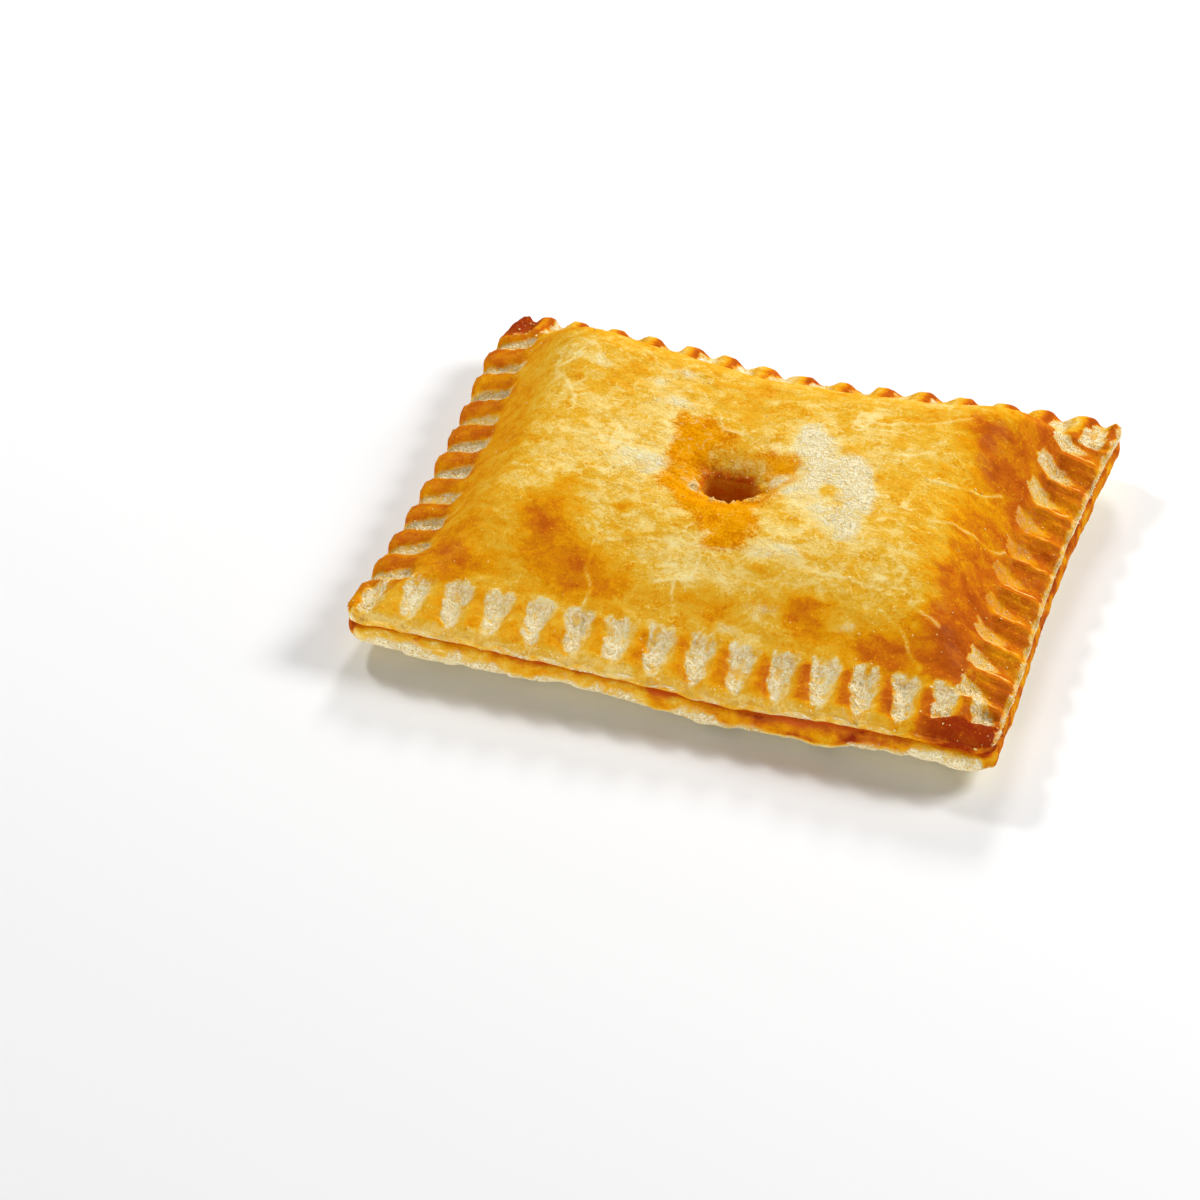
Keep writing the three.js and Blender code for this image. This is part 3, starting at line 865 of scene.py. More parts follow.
def pastry_skin():
    """The pastry's closed skin as a flat grid. Each vertex keeps its row: 0 on the lid, then 1, 2
    and so on down the edge and under the foot, and -1, -2 and so on down the pit."""
    bm = bmesh.new()
    bmesh.ops.create_grid(bm, x_segments=COLUMNS, y_segments=ROWS, size=1)
    row = bm.verts.layers.int.new("row")
    outline = [edge for edge in bm.edges if edge.is_boundary]
    block = []
    for face in bm.faces:
        middle = face.calc_center_median()
        x = HALF_LENGTH * spaced(middle.x)
        y = HALF_WIDTH * spaced(middle.y)
        if BLOCK_LEFT < x < BLOCK_RIGHT and BLOCK_FRONT < y < BLOCK_BACK:
            block.append(face)
    bmesh.ops.delete(bm, geom=block, context="FACES")
    known = set(outline)
    vent = [edge for edge in bm.edges if edge.is_boundary and edge not in known]
    edge_count = len(EDGE_ROWS) + len(FOOT_ROWS)
    for edges, count, step in ((outline, edge_count, 1), (vent, len(PIT_ROWS), -1)):
        for number in range(1, count + 2):
            made = bmesh.ops.extrude_edge_only(bm, edges=edges)
            edges = new_edges(made)
            for vert in new_verts(made):
                vert[row] = step * number
        bmesh.ops.pointmerge(bm, verts=new_verts(made), merge_co=(0, 0, 0))
    return bm


def mesh_piece(name, mesh, material):
    """A finished, smooth-shaded piece at the origin."""
    mesh.shade_smooth()
    mesh.materials.append(material)
    piece = bpy.data.objects.new(name, mesh)
    bpy.context.scene.collection.objects.link(piece)
    return piece


def bmesh_piece(name, bm, material):
    """A piece made from a bmesh, which is used up."""
    mesh = bpy.data.meshes.new(name)
    bm.to_mesh(mesh)
    bm.free()
    return mesh_piece(name, mesh, material)


def read_values(items, name, kind=np.float32):
    """One number of each item, as an array."""
    values = np.empty(len(items), kind)
    items.foreach_get(name, values)
    return values


def read_vectors(vertices, name):
    """One vector of each vertex, as the rows of an array."""
    values = np.empty(len(vertices) * 3, np.float32)
    vertices.foreach_get(name, values)
    return values.reshape(-1, 3).astype(float)


def set_places(mesh, places):
    """Moves a mesh's vertices to places in millimetres."""
    mesh.vertices.foreach_set("co", (places * MM).astype(np.float32).ravel())
    mesh.update()


def turn_outwards(mesh):
    """Makes a closed mesh's faces point outwards."""
    bm = bmesh.new()
    bm.from_mesh(mesh)
    bmesh.ops.recalc_face_normals(bm, faces=bm.faces)
    bm.to_mesh(mesh)
    bm.free()


def set_marks(mesh, marks):
    """Keeps a number per vertex for the material, under each name."""
    for name, values in marks.items():
        attribute = mesh.attributes.new(name, "FLOAT", "POINT")
        attribute.data.foreach_set("value", np.asarray(values, np.float32))


class PastryForm:
    """Places and marks of all the vertices of the pastry's skin."""

    def __init__(self, mesh, crust):
        flat = read_vectors(mesh.vertices, "co")
        count = len(flat)
        self.row = read_values(mesh.attributes["row"].data, "value", np.int32)
        self.crust = crust
        self.grid_x = HALF_LENGTH * spaced(flat[:, 0])
        self.grid_y = HALF_WIDTH * spaced(flat[:, 1])
        self.places = np.zeros((count, 3))
        names = ("bake", "flour", "crease", "stain", "oil", "tear")
        self.marks = {name: np.zeros(count) for name in names}
        self.shape_lid()
        self.shape_edge()
        self.shape_pit()

    def put(self, where, x, y, z):
        """Sets the places of some vertices."""
        self.places[where, 0] = x
        self.places[where, 1] = y
        self.places[where, 2] = z

    def shape_lid(self):
        """The lid, from its outline to the vent's rim."""
        where = self.row == 0
        grid_x = self.grid_x[where]
        grid_y = self.grid_y[where]
        x, y = opened_vent(grid_x, grid_y)
        lid = Lid(x, y, self.crust)
        height = lid.height()
        far, angle = vent_reach(grid_x, grid_y)
        lip = bell(far - LIP_PLACE, LIP_WIDTH) * (0.6 - 0.4 * np.sin(angle + 0.5))
        crumbly = smoothstep(-0.1, 0.4, lid.grain(1.5, 1.5, 73.3, 3))
        height += lip * (LIP_HEIGHT * crumbly - LIP_SINK)
        height -= vent_dip(far, angle)
        drawn_x, drawn_y = lid.scalloped()
        out_x, out_y = settled(drawn_x, drawn_y)
        self.put(where, out_x, out_y, height)
        # The oily, darker throat of the vent reaches furthest at the back: partly real oil, partly
        # painted shade on the far wall that slopes down into the vent.
        wide = 1.1 + 0.22 * (1 + np.sin(angle))
        throat = falloff(1.0, wide, far + 0.14 * lid.grain(2, 2, 74.9, 3))
        self.marks["bake"][where] = lid.bake + 0.25 * throat
        self.marks["flour"][where] = np.maximum(lid.flour * (1 - throat), 0.45 * lip * crumbly)
        self.marks["crease"][where] = np.maximum(lid.crease, 0.7 * lid.wrinkle_lines)
        self.marks["stain"][where] = lid.stain
        self.marks["oil"][where] = throat * (0.5 + 0.35 * np.sin(angle)) * (1 - lip * crumbly)
        self.marks["tear"][where] = lid.tear

    def shape_edge(self):
        """The cut edges of lid and base, the seam between them and the foot."""
        where = self.row > 0
        x = self.grid_x[where]
        y = self.grid_y[where]
        row = self.row[where] - 1
        lid = Lid(x, y, self.crust)
        heights = {
            "lid": lid.height(),
            "seam": SEAM_HEIGHT + rim_ride(x, y),
            "rim": rim_low(x, y) + RIM_UNEVEN * lid.grain(6, 6, 79.3, 3),
        }
        inset = np.zeros_like(x)
        z = np.zeros_like(x)
        scallop = np.zeros_like(x)
        flaking = self.crust.flaking / MM
        for number, (step, lower, upper, share) in enumerate(EDGE_ROWS):
            here = row == number
            depth = 0.35 if abs(number + 1 - SEAM_ROW) < 2 else 1.0
            flakes = grain(x, y, 3.4, 3.4, 89.1, 3, z=number * 0.45)
            inset[here] = step + flaking * depth * flakes[here]
            z[here] = mix(heights[lower], heights[upper], share)[here]
            scallop[here] = max(0.0, 0.8 - 0.25 * number)
        for number, step in enumerate(FOOT_ROWS, len(EDGE_ROWS)):
            here = row == number
            inset[here] = step
            rise = (1 - smoothstep(0, FOOT_WIDTH, step)) ** 2
            z[here] = heights["rim"][here] * rise
        drawn_x, drawn_y = lid.scalloped()
        side_x = mix(x, drawn_x, scallop) * (1 - inset / HALF_LENGTH)
        side_y = mix(y, drawn_y, scallop) * (1 - inset / HALF_WIDTH)
        out_x, out_y = settled(side_x, side_y)
        last = row == len(EDGE_ROWS) + len(FOOT_ROWS)
        self.put(where, np.where(last, 0, out_x), np.where(last, 0, out_y), np.where(last, 0, z))
        self.colour_edge(where, x, y, row)

    def colour_edge(self, where, x, y, row):
        """Marks of the edge: pale cut edges, an oily seam, a glazed base and a floury foot."""
        # How much each place belongs to the lid's edge, the seam, the base's edge and the two ends.
        number = row + 1
        uneven = grain(x, y, 4, 4, 97.7, 4, z=number * 0.3)
        lid_side = falloff(SEAM_ROW - 2, SEAM_ROW - 0.5, number)
        seam = bell(number - SEAM_ROW - 0.4, 1.0)
        last = len(EDGE_ROWS)
        base_side = smoothstep(SEAM_ROW + 0.5, SEAM_ROW + 2, number)
        base_side = base_side * falloff(last - 2, last, number)
        end = smoothstep(HALF_LENGTH - 3, HALF_LENGTH - 1, np.abs(x))
        # Where oil soaks the base, where it is glazed, where the lid's edge is dark, and the foot.
        leak = np.zeros_like(x)
        for place, reach, strength in OIL_LEAKS:
            leak += strength * bell(x - place, reach)
        soaked = leak * (y < 0) * (1 - end) + 0.35 * end + 0.6 * grain(x, y, 9, 9, 101.3, 3)
        soaked = np.clip(soaked, 0, 1)
        middle = smoothstep(*BASE_GLAZE_START, x) * falloff(*BASE_GLAZE_END, x) * (1 - end)
        scorched = smoothstep(*EDGE_SCORCH, x) * (y < 5 - HALF_WIDTH)
        foot = smoothstep(9.0, 11.5, number + 0.9 * uneven - 2 * soaked)
        # The marks are sums over the parts of the edge.
        lid_bake = (mix(0.5, 0.95, scorched) + 0.3 * uneven) * lid_side
        glazed = np.maximum(np.maximum(end, middle), soaked)
        # The base's level starts high partly as painted shade: it darkens the base's edge, which the
        # low front lamp lights more than the shade it stands in.
        base_bake = (0.47 + 0.28 * glazed + 0.35 * uneven) * base_side
        self.marks["bake"][where] = lid_bake + 0.85 * seam + base_bake + 0.2 * foot
        cut = (0.26 + 0.64 * end + 0.6 * uneven) * lid_side * (1 - scorched)
        dry = mix(0.15, 0.8, smoothstep(*BASE_FLOUR, x)) + 0.8 * uneven
        dry = dry * (1 - middle) * (1 - end) * base_side * smoothstep(7.5, 10.5, number)
        foot_dust = (0.85 - 0.45 * end) * foot * (number < last + 4)
        self.marks["flour"][where] = cut + np.clip(dry, 0, 1) + foot_dust
        wet = bell(number - SEAM_ROW - 1.5 + uneven, 1.3)
        self.marks["oil"][where] = seam * (0.35 + 0.8 * soaked) + 0.85 * wet * soaked

    def shape_pit(self):
        """The wall of the vent, down to its floor."""
        where = self.row < 0
        _, angle = vent_reach(self.grid_x[where], self.grid_y[where])
        row = -self.row[where] - 1
        rim_x, rim_y = vent_outline(angle, 1.0)
        rim = Lid(rim_x, rim_y, self.crust).height() - vent_dip(1.0, angle)
        scale = np.zeros_like(angle)
        z = np.full_like(angle, PIT_FLOOR)
        for number, (step, share) in enumerate(PIT_ROWS):
            here = row == number
            torn = grain(5 * np.cos(angle), 5 * np.sin(angle), 1, 1, 103.1, z=number)
            scale[here] = step + 0.03 * torn[here]
            z[here] = mix(rim, PIT_FLOOR, share)[here]
        x, y = vent_outline(angle, scale)
        self.put(where, x, y, z)
        # Further down, the pit's wall is darker and oilier: real oil, with painted shade deeper in the
        # pit.
        depth = np.clip(row / len(PIT_ROWS), 0, 1)
        self.marks["bake"][where] = 0.45 + 0.1 * depth
        self.marks["oil"][where] = 0.38 + 0.25 * depth


class Socket:
    """An output of a material's node. Arithmetic on it adds Math nodes."""

    def __init__(self, paint, output):
        self.paint = paint
        self.output = output

    def __add__(self, other):
        return self.paint.maths("ADD", self, other)

    def __radd__(self, other):
        return self.paint.maths("ADD", other, self)

    def __sub__(self, other):
        return self.paint.maths("SUBTRACT", self, other)

    def __rsub__(self, other):
        return self.paint.maths("SUBTRACT", other, self)

    def __mul__(self, other):
        return self.paint.maths("MULTIPLY", self, other)

    def __rmul__(self, other):
        return self.paint.maths("MULTIPLY", other, self)


class Paint:
    """A material made from nodes."""

    def __init__(self, name, **fixed):
        self.material = bpy.data.materials.new(name)
        self.material.use_nodes = True
        self.tree = self.material.node_tree
        self.shader = self.tree.nodes["Principled BSDF"]
        for socket, value in fixed.items():
            self.shader.inputs[socket.replace("_", " ")].default_value = value

    def node(self, kind, settings=None, sockets=None, output=0):
        """Adds a node, sets it up and fills or links its sockets."""
        made = self.tree.nodes.new(kind)
        for name, value in (settings or {}).items():
            if name == "stops":
                self.set_stops(made.color_ramp, value)
            else:
                setattr(made, name, value)
        for name, value in (sockets or {}).items():
            self.fill(made.inputs[name], value)
        return Socket(self, made.outputs[output])

    def fill(self, socket, value):
        """Links a socket to a node's output, or sets it to a plain value."""
        if isinstance(value, Socket):
            self.tree.links.new(value.output, socket)
        else:
            socket.default_value = value

    def set_stops(self, ramp, stops):
        """Sets a colour ramp's stops."""
        while len(ramp.elements) < len(stops):
            ramp.elements.new(0.5)
        for element, (place, shade) in zip(ramp.elements, stops):
            element.position = place
            element.color = (*shade, 1)

    def maths(self, operation, first, second):
        """A Math node."""
        return self.node("ShaderNodeMath", {"operation": operation}, {0: first, 1: second})

    def vectors(self, operation, sockets):
        """A Vector Math node."""
        return self.node("ShaderNodeVectorMath", {"operation": operation}, sockets)

    def mark(self, name):
        """A number that the mesh keeps per vertex."""
        return self.node("ShaderNodeAttribute", {"attribute_name": name}, output="Fac")

    def millimetres(self):
        """Object coordinates in millimetres."""
        place = self.node("ShaderNodeTexCoord", output="Object")
        return self.vectors("SCALE", {0: place, "Scale": 1 / MM})

    def cloud(self, place, size, detail=2, stretch=(1, 1, 1), roughness=0.5):
        """Noise of 0 to 1 with lumps of that size in millimetres."""
        turned = self.node("ShaderNodeMapping", None, {"Vector": place, "Scale": stretch})
        sockets = {"Vector": turned, "Scale": 1 / size, "Detail": detail, "Roughness": roughness}
        return self.node("ShaderNodeTexNoise", None, sockets)

    def swirled(self, place, size, reach):
        """Places pushed about by noise with lumps of that size, about as far as reach."""
        sockets = {"Vector": place, "Scale": 1 / size, "Detail": 3}
        swirl = self.node("ShaderNodeTexNoise", None, sockets, "Color")
        push = self.vectors("SUBTRACT", {0: swirl, 1: (0.5, 0.5, 0.5)})
        push = self.vectors("SCALE", {0: push, "Scale": reach * 2})
        return self.vectors("ADD", {0: place, 1: push})

    def step(self, value, low, high):
        """0 below low, 1 above high and smooth between them."""
        sockets = {"Value": value, "From Min": low, "From Max": high}
        return self.node("ShaderNodeMapRange", {"interpolation_type": "SMOOTHSTEP"}, sockets)

    def magnitude(self, value):
        """A number without its sign."""
        return self.node("ShaderNodeMath", {"operation": "ABSOLUTE"}, {0: value})

    def spots(self, place, size, radius, share):
        """Round spots in some of the cells of a random grid: 1 inside them and 0 outside."""
        sockets = {"Vector": place, "Scale": 1 / size}
        away = self.node("ShaderNodeTexVoronoi", None, sockets, "Distance")
        pick = Socket(self, away.output.node.outputs["Color"])
        inside = 1 - self.step(away, radius * 0.4, radius)
        return inside * self.step(pick, 0.9 - share, 0.95 - share)

    def blend(self, share, first, second):
        """A colour part of the way from first to second."""
        first = first if isinstance(first, Socket) else (*first, 1)
        second = second if isinstance(second, Socket) else (*second, 1)
        return self.node("ShaderNodeMix", {"data_type": "RGBA"}, {0: share, 6: first, 7: second}, 2)

    def finish(self, base, roughness, height, relief, coat=None):
        """Feeds the shader, with a bump of that relief in millimetres, and returns the material."""
        self.fill(self.shader.inputs["Base Color"], base)
        self.fill(self.shader.inputs["Roughness"], roughness)
        if coat is not None:
            self.fill(self.shader.inputs["Coat Weight"], coat)
        bump = self.node("ShaderNodeBump", None, {"Height": height, "Distance": relief * MM})
        self.fill(self.shader.inputs["Normal"], bump)
        return self.material


def crust_material(crust):
    """Baked pastry: glazed from pale to dark, floury where pressed, oily at seam and vent."""
    paint = Paint("baked crust", Specular_IOR_Level=0.0, Coat_Roughness=0.35)
    place = paint.millimetres()
    drift = paint.swirled(place, SWIRL_SIZE, SWIRL_REACH)
    mottle = paint.cloud(drift, MOTTLE_SIZE, 4, (0.8, 1, 1), 0.6) - 0.5
    streak = paint.cloud(drift, STREAK_SIZE, 4, (0.65, 1, 1), 0.65) - 0.5
    fine = paint.cloud(place, FINE_SIZE, 2, roughness=0.7) - 0.5
    leaves = paint.step(paint.cloud(drift, LEAF_SIZE, 4, (0.7, 1, 1.2), 0.6), 0.48, 0.52) - 0.5
    uneven = mottle * 0.65 + streak * 0.42 + fine * 0.5 + leaves * 0.12
    bake = paint.mark("bake")
    dust = paint.mark("flour")
    powdered = paint.step(dust, 0.0, 0.5)
    crease = paint.mark("crease") * (1 + fine * 2)

    # Thin pale folds with dark gaps beside them, where the crust is pale enough to show them.
    broken = paint.step(mottle + streak, -0.06, 0.1) * (1 - paint.step(bake, 0.4, 0.65))
    lines = paint.cloud(drift, FOLD_SIZE, 4, (0.6, 1, 1.2), 0.55)
    folds = (1 - paint.step(paint.magnitude(lines - 0.5), 0.002, 0.018)) * broken
    gaps = (1 - paint.step(paint.magnitude(lines - 0.46), 0.0, 0.012)) * broken

    # The bake, with the painted light and shade that its mark carries, made uneven, gives the colour of
    # the crust.
    level = bake + uneven * (1.2 - bake * 0.95) - folds * 0.18 + gaps * 0.1 - crease * 0.3
    level = level - paint.spots(drift, BLOT_SIZE, radius=0.32, share=0.3) * 0.08
    # Painted highlights: pale glints, spots where the glaze would catch the lamps, lighten the crust.
    level = level - paint.spots(place, GLINT_SIZE, radius=0.3, share=0.22) * 0.2
    level = level + paint.spots(place, PORE_SIZE, radius=0.055, share=0.35) * 0.3
    level = level - powdered * bake * 0.5
    stops = (
        (0.0, crust.blond),
        (PALE, crust.pale),
        (GOLDEN, crust.golden),
        (AMBER, crust.amber),
        (BROWN, crust.brown),
        (DARK, crust.dark),
    )
    base = paint.node("ShaderNodeValToRGB", {"stops": stops}, {"Fac": level})

    # Over it go the stain round the vent, creases and painted highlight lines, flour, torn lines, and
    # oil with painted shade deep in the vent.
    stain = paint.step(paint.mark("stain") + uneven * 1.2 + fine * 0.8, 0.1, 0.9)
    soaked = paint.step(uneven * 1.2 + fine * 0.5, -0.12, 0.3)
    stained = paint.blend(soaked, crust.stain, crust.soaked)
    stained = paint.blend(folds * 0.15, stained, crust.golden)
    base = paint.blend(stain * (1 - powdered * 0.8), base, stained)
    # Creases turn pale, and so do the painted highlight lines along the right-hand tiles.
    base = paint.blend(paint.step(crease, 0.28, 1.0) * 0.6, base, crust.blond)
    flour = paint.step(dust * (1 + fine * 4.5 + streak * 2.4 + mottle), 0.12, 1.0)
    cracks = 1 - paint.step(paint.magnitude(streak + fine * 0.6), 0, 0.03)
    cracks = cracks * paint.step(mottle, -0.02, 0.1)
    dots = paint.spots(place, DOT_SIZE, radius=0.24, share=0.3)
    floury = paint.blend(0.75 + fine * 1.5, crust.pale, crust.flour)
    floury = paint.blend(cracks * 0.5 + dots * 0.3, floury, crust.speck)
    base = paint.blend(flour * 0.95, base, floury)
    base = paint.blend(paint.mark("tear") * 0.3, base, crust.amber)
    oil = paint.step(paint.mark("oil") * (1 + mottle * 2), 0.1, 0.85)
    base = paint.blend(oil, base, crust.oil)

    glazed = paint.step(bake + mottle, 0.3, 0.75) * (1 - flour)
    rubble = paint.cloud(place, RUBBLE_SIZE, 2, roughness=0.7)
    height = mottle * 0.35 + streak * 0.35 + fine * 0.3
    height = height * (1 - glazed * 0.4) + flour * rubble * 0.25
    return paint.finish(base, 0.6 + flour * 0.3, height, 1, glazed * crust.glaze)


def filling_material(filling):
    """Moist, lumpy tuna in tomato."""
    paint = Paint(
        "tuna in tomato",
        Coat_Weight=0.4,
        Coat_Roughness=0.15,
        Subsurface_Weight=0.1,
        Subsurface_Scale=MM,
    )
    place = paint.millimetres()
    shreds = paint.cloud(place, 1.4, 4, (0.6, 1, 1.4), 0.6)
    fine = paint.cloud(place, 0.4, 3)
    base = paint.blend(paint.step(shreds, 0.45, 0.7), filling.sauce, filling.flesh)
    return paint.finish(base, 0.3 + fine * 0.25, shreds + fine * 0.4, 0.4)


def crumb_material(name, shade, pale):
    """Crumbs, grains or flakes: each a little lighter or darker than the next."""
    paint = Paint(name, Specular_IOR_Level=0.0)
    place = paint.millimetres()
    fine = paint.cloud(place, 0.25, 2)
    base = paint.blend(paint.mark("tone") * 0.8 + fine * 0.2, shade, pale)
    return paint.finish(base, 0.55 + fine * 0.3, fine, 0.1)


def carried(piece):
    """Fixes a piece to the puff's one body."""
    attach(piece, "root")


class PUFF_OT_pastry(bpy.types.Operator):
    """Make the baked pastry: lid, crimped border, seam, base and vent"""

    bl_idname = "puff.pastry"
    bl_label = "Pastry"

    def execute(self, context):
        crust = context.scene.puff_crust
        piece = bmesh_piece("baked_pastry", pastry_skin(), crust_material(crust))
        form = PastryForm(piece.data, crust)
        set_places(piece.data, form.places)
        turn_outwards(piece.data)
        set_marks(piece.data, form.marks)
        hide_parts("pastry")
        carried(piece)
        return {"FINISHED"}


class PUFF_OT_filling(bpy.types.Operator):
    """Make the filling that shows in the vent"""

    bl_idname = "puff.filling"
    bl_label = "Filling"

    def execute(self, context):
        filling = context.scene.puff_filling
        bm = bmesh.new()
        bmesh.ops.create_uvsphere(bm, u_segments=96, v_segments=64, radius=1)
        piece = bmesh_piece("vent_filling", bm, filling_material(filling))
        # The ball becomes a plug that fits the vent: flat below, straight round its side, lumpy on top.
        ball_x, ball_y, ball_z = np.array([vert.co for vert in piece.data.vertices]).T
        angle = np.arctan2(ball_y, ball_x)
        out = np.clip(np.hypot(ball_x, ball_y) * 1.25, 0, 1)
        plug = PIT_NARROWING - 1.5 * CLEARANCE / VENT_HALF_WIDTH
        x, y = vent_outline(angle, plug * out)
        bottom = PIT_FLOOR + CLEARANCE
        up = ball_z > 0
        lumps = grain(x, y, 1.9, 1.9, 107.3, 3) * (1 - out**4)
        top = FILLING_TOP - FILLING_SLOPE * out**2 + filling.lump / MM * FILLING_LUMPY * lumps
        share = np.clip(0.5 + 0.9 * ball_z, 0, 1)
        z = np.where(up, mix(bottom, top, share), mix(bottom, FILLING_TOP, share))
        z = np.where(out < 1, np.where(up, top, bottom), z)
        set_places(piece.data, np.stack([x, y, z], 1))
        turn_outwards(piece.data)
        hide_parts("filling")
        carried(piece)
        return {"FINISHED"}


def scattered(name, seed, surface, weights, count, size, shape, sink, material):
    """One mesh of many little lumps that lie on the pastry, picked by weight from its vertices."""
    places, normals = surface
    chance = np.random.default_rng(seed)
    chosen = chance.choice(len(places), size=count, replace=False, p=weights / weights.sum())
    bm = bmesh.new()
    bmesh.ops.create_icosphere(bm, subdivisions=1, radius=0.5)
    corners = np.array([vert.co for vert in bm.verts])
    faces = np.array([[vert.index for vert in face.verts] for face in bm.faces])
    bm.free()
    up = normals[chosen]
    side = np.cross(up, chance.normal(size=(count, 3)))
    side /= np.linalg.norm(side, axis=1)[:, None]
    across = np.cross(up, side)
    scale = size / MM * np.exp(chance.normal(0, 0.35, count).clip(-1, 0.55))
    stretch = np.asarray(shape) * np.exp(chance.normal(0, 0.2, (count, 3)))
    rough = 1 + 0.3 * chance.normal(size=(count, len(corners), 1)).clip(-1.6, 1.6)
    lumps = corners[None] * rough * stretch[:, None] * scale[:, None, None]
    turned = lumps[:, :, :1] * side[:, None] + lumps[:, :, 1:2] * across[:, None]
    turned = turned + lumps[:, :, 2:] * up[:, None]
    seat = places[chosen] + up * (stretch[:, 2] * scale * (0.5 - sink))[:, None]
    all_corners = (turned + seat[:, None]).reshape(-1, 3)
    first_corners = np.arange(count) * len(corners)
    all_faces = (faces[None] + first_corners[:, None, None]).reshape(-1, 3)
    mesh = bpy.data.meshes.new(name)
    mesh.from_pydata(all_corners * MM, [], all_faces)
    set_marks(mesh, {"tone": np.repeat(chance.random(count), len(corners))})
    carried(mesh_piece(name, mesh, material))


class PUFF_OT_crumbs(bpy.types.Operator):
    """Strew crumbs, grains of flour and flakes over the pastry"""

    bl_idname = "puff.crumbs"
    bl_label = "Crumbs, flour and flakes"

    def execute(self, context):
        pastry = bpy.data.objects.get("baked_pastry")
        if pastry is None:
            raise RuntimeError("Make the pastry first: crumbs lie on it.")
        crust = context.scene.puff_crust
        loose = context.scene.puff_crumbs
        mesh = pastry.data
        places = read_vectors(mesh.vertices, "co") / MM
        surface = (places, read_vectors(mesh.vertices, "normal"))
        row = read_values(mesh.attributes["row"].data, "value", np.int32)
        flour, crease, tear = (
            read_values(mesh.attributes[name].data, "value") for name in ("flour", "crease", "tear")
        )
        vent_x = (places[:, 0] - VENT_X) / VENT_HALF_LENGTH
        vent_y = (places[:, 1] - VENT_Y) / VENT_HALF_WIDTH
        from_vent = np.hypot(vent_x, vent_y)
        lid = row == 0
        # Crumbs lie most at the verges of flour, where the pale crumbs also stand for painted glints,
        # round the vent and in torn lines, grains on flour, and flakes on creases and painted highlight
        # lines, torn lines and the lid's cut edge.
        lip = bell(from_vent - 1.25, 0.3) * lid
        dusted = flour.clip(0, 1)
        floury = dusted**3
        verge_for_glints = dusted * (1 - dusted)
        on_crumbs = lid * (0.02 + 0.8 * verge_for_glints + 0.06 * crease + 0.6 * lip + tear)
        on_grains = (lid | (row < SEAM_ROW)) * (0.0005 + floury) * (from_vent > 1.9)
        on_flakes = lid * (0.3 * crease + 2 * tear + 0.02 * floury)
        cut_edge = (row > 0) & (row < SEAM_ROW - 2)
        on_flakes = on_flakes + 0.35 * cut_edge
        golden = crumb_material("golden crumb", crust.golden, loose.crumb)
        white = crumb_material("flour grain", crust.pale, crust.flour)
        leaf = crumb_material("pastry flake", crust.golden, crust.blond)
        bits = {
            "crumbs": (on_crumbs, loose.crumbs, loose.crumb_size, (1, 0.9, 0.7), 0.2, golden),
            "flour_grains": (on_grains, loose.grains, loose.grain_size, (1, 1, 0.8), 0.3, white),
            "loose_flakes": (on_flakes, loose.flakes, loose.flake_size, (1, 0.6, 0.12), 0.1, leaf),
        }
        for seed, (name, bit) in enumerate(bits.items(), FIRST_SEED):
            scattered(name, seed, surface, *bit)
        return {"FINISHED"}


def lamp(name, direction, width, power):
    """A round soft lamp that looks at the middle of the puff."""
    light = bpy.data.lights.new(name, "AREA")
    light.shape = "DISK"
    light.size = width
    light.energy = power
    holder = bpy.data.objects.new(name, light)
    towards = Vector(direction).normalized()
    holder.location = towards * LAMP_DISTANCE
    holder.rotation_euler = towards.to_track_quat("Z", "Y").to_euler()
    bpy.context.scene.collection.objects.link(holder)


def floor_material(stage):
    """Pale, hardly mottled floor."""
    paint = Paint("pale floor")
    place = paint.millimetres()
    shade = paint.blend(paint.cloud(place, 60) * 0.02, stage.floor, (1, 1, 1))
    return paint.finish(shade, 0.8, paint.cloud(place, 2), 0.01)


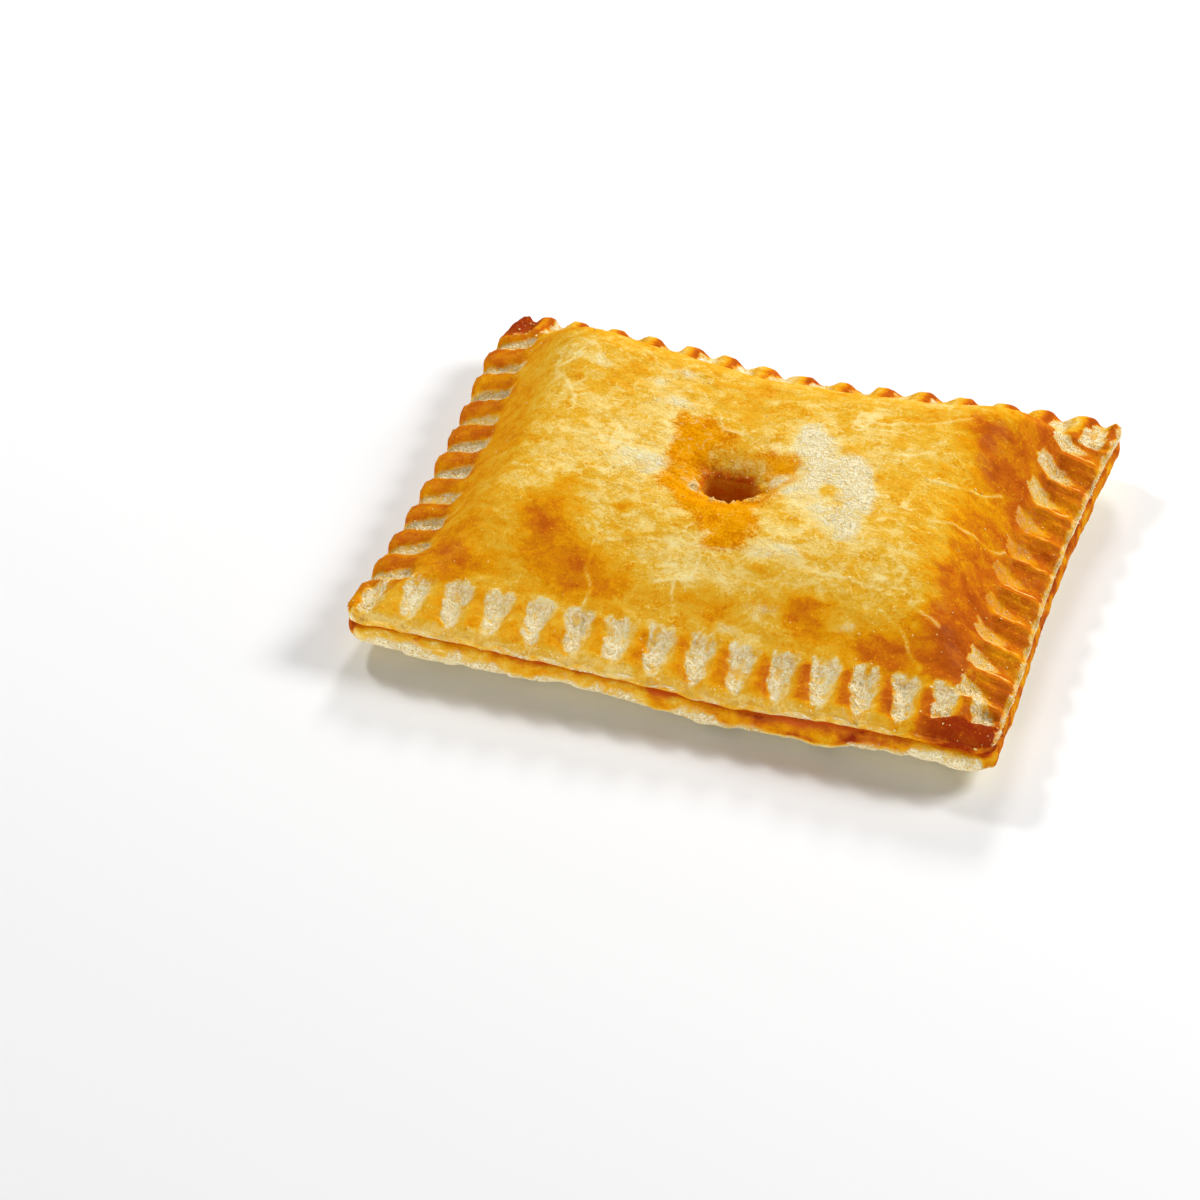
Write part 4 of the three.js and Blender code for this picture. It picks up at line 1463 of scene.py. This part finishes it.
class PUFF_OT_stage(bpy.types.Operator):
    """Make the pale floor, the studio light and the camera"""

    bl_idname = "puff.stage"
    bl_label = "Floor, light and camera"

    def execute(self, context):
        scene = context.scene
        stage = scene.puff_stage
        bm = bmesh.new()
        bmesh.ops.create_grid(bm, x_segments=8, y_segments=8, size=FLOOR_HALF)
        bmesh.ops.translate(bm, verts=bm.verts, vec=(0, 0, -FLOOR_DROP))
        bmesh_piece("floor", bm, floor_material(stage))
        world = bpy.data.worlds.new("studio")
        world.use_nodes = True
        background = world.node_tree.nodes["Background"].inputs
        background["Color"].default_value = (1, 1, 1, 1)
        background["Strength"].default_value = stage.sky
        scene.world = world
        for name, (direction, width) in LAMPS.items():
            lamp(f"{name} lamp", direction, width, getattr(stage, name))
        camera = bpy.data.cameras.new("camera")
        camera.lens = stage.lens
        camera.sensor_width = CAMERA_SENSOR
        camera.clip_start = CAMERA_NEAR
        holder = bpy.data.objects.new("camera", camera)
        turn = math.radians(CAMERA_TURN)
        down = math.radians(CAMERA_DOWN)
        level = math.cos(down)
        ahead = Vector((math.sin(turn) * level, math.cos(turn) * level, -math.sin(down)))
        holder.location = Vector(CAMERA_TARGET) * MM - ahead * CAMERA_DISTANCE
        holder.rotation_euler = ahead.to_track_quat("-Z", "Y").to_euler()
        scene.collection.objects.link(holder)
        scene.camera = holder
        scene.view_settings.view_transform = "Standard"
        return {"FINISHED"}


class PUFF_PT_parts(bpy.types.Panel):
    """Lists the puff's pieces and their settings"""

    bl_idname = "PUFF_PT_parts"
    bl_label = "Tuna puff"
    bl_space_type = "VIEW_3D"
    bl_region_type = "UI"
    bl_category = "Puff"

    def draw(self, context):
        scene = context.scene
        for operator, settings in PARTS:
            box = self.layout.box()
            box.operator(operator.bl_idname)
            group = getattr(scene, settings)
            for name in type(group).__annotations__:
                box.prop(group, name)


PARTS = (
    (PUFF_OT_pastry, "puff_crust"),
    (PUFF_OT_filling, "puff_filling"),
    (PUFF_OT_crumbs, "puff_crumbs"),
    (PUFF_OT_stage, "puff_stage"),
)
SETTINGS = {
    "puff_crust": PuffCrust,
    "puff_filling": PuffFilling,
    "puff_crumbs": PuffCrumbs,
    "puff_stage": PuffStage,
}
CLASSES = (*SETTINGS.values(), *(operator for operator, _ in PARTS), PUFF_PT_parts)


def register():
    """Registers the classes and puts their settings on the scene."""
    for item in CLASSES:
        bpy.utils.register_class(item)
    for name, group in SETTINGS.items():
        setattr(bpy.types.Scene, name, bpy.props.PointerProperty(type=group))


def unregister():
    """Takes the settings and the classes away again."""
    for name in SETTINGS:
        delattr(bpy.types.Scene, name)
    for item in reversed(CLASSES):
        bpy.utils.unregister_class(item)


def main():
    """Makes the pieces in order."""
    register()
    bpy.ops.puff.pastry()
    bpy.ops.puff.filling()
    bpy.ops.puff.crumbs()
    bpy.ops.puff.stage()


if __name__ == "__main__":
    main()
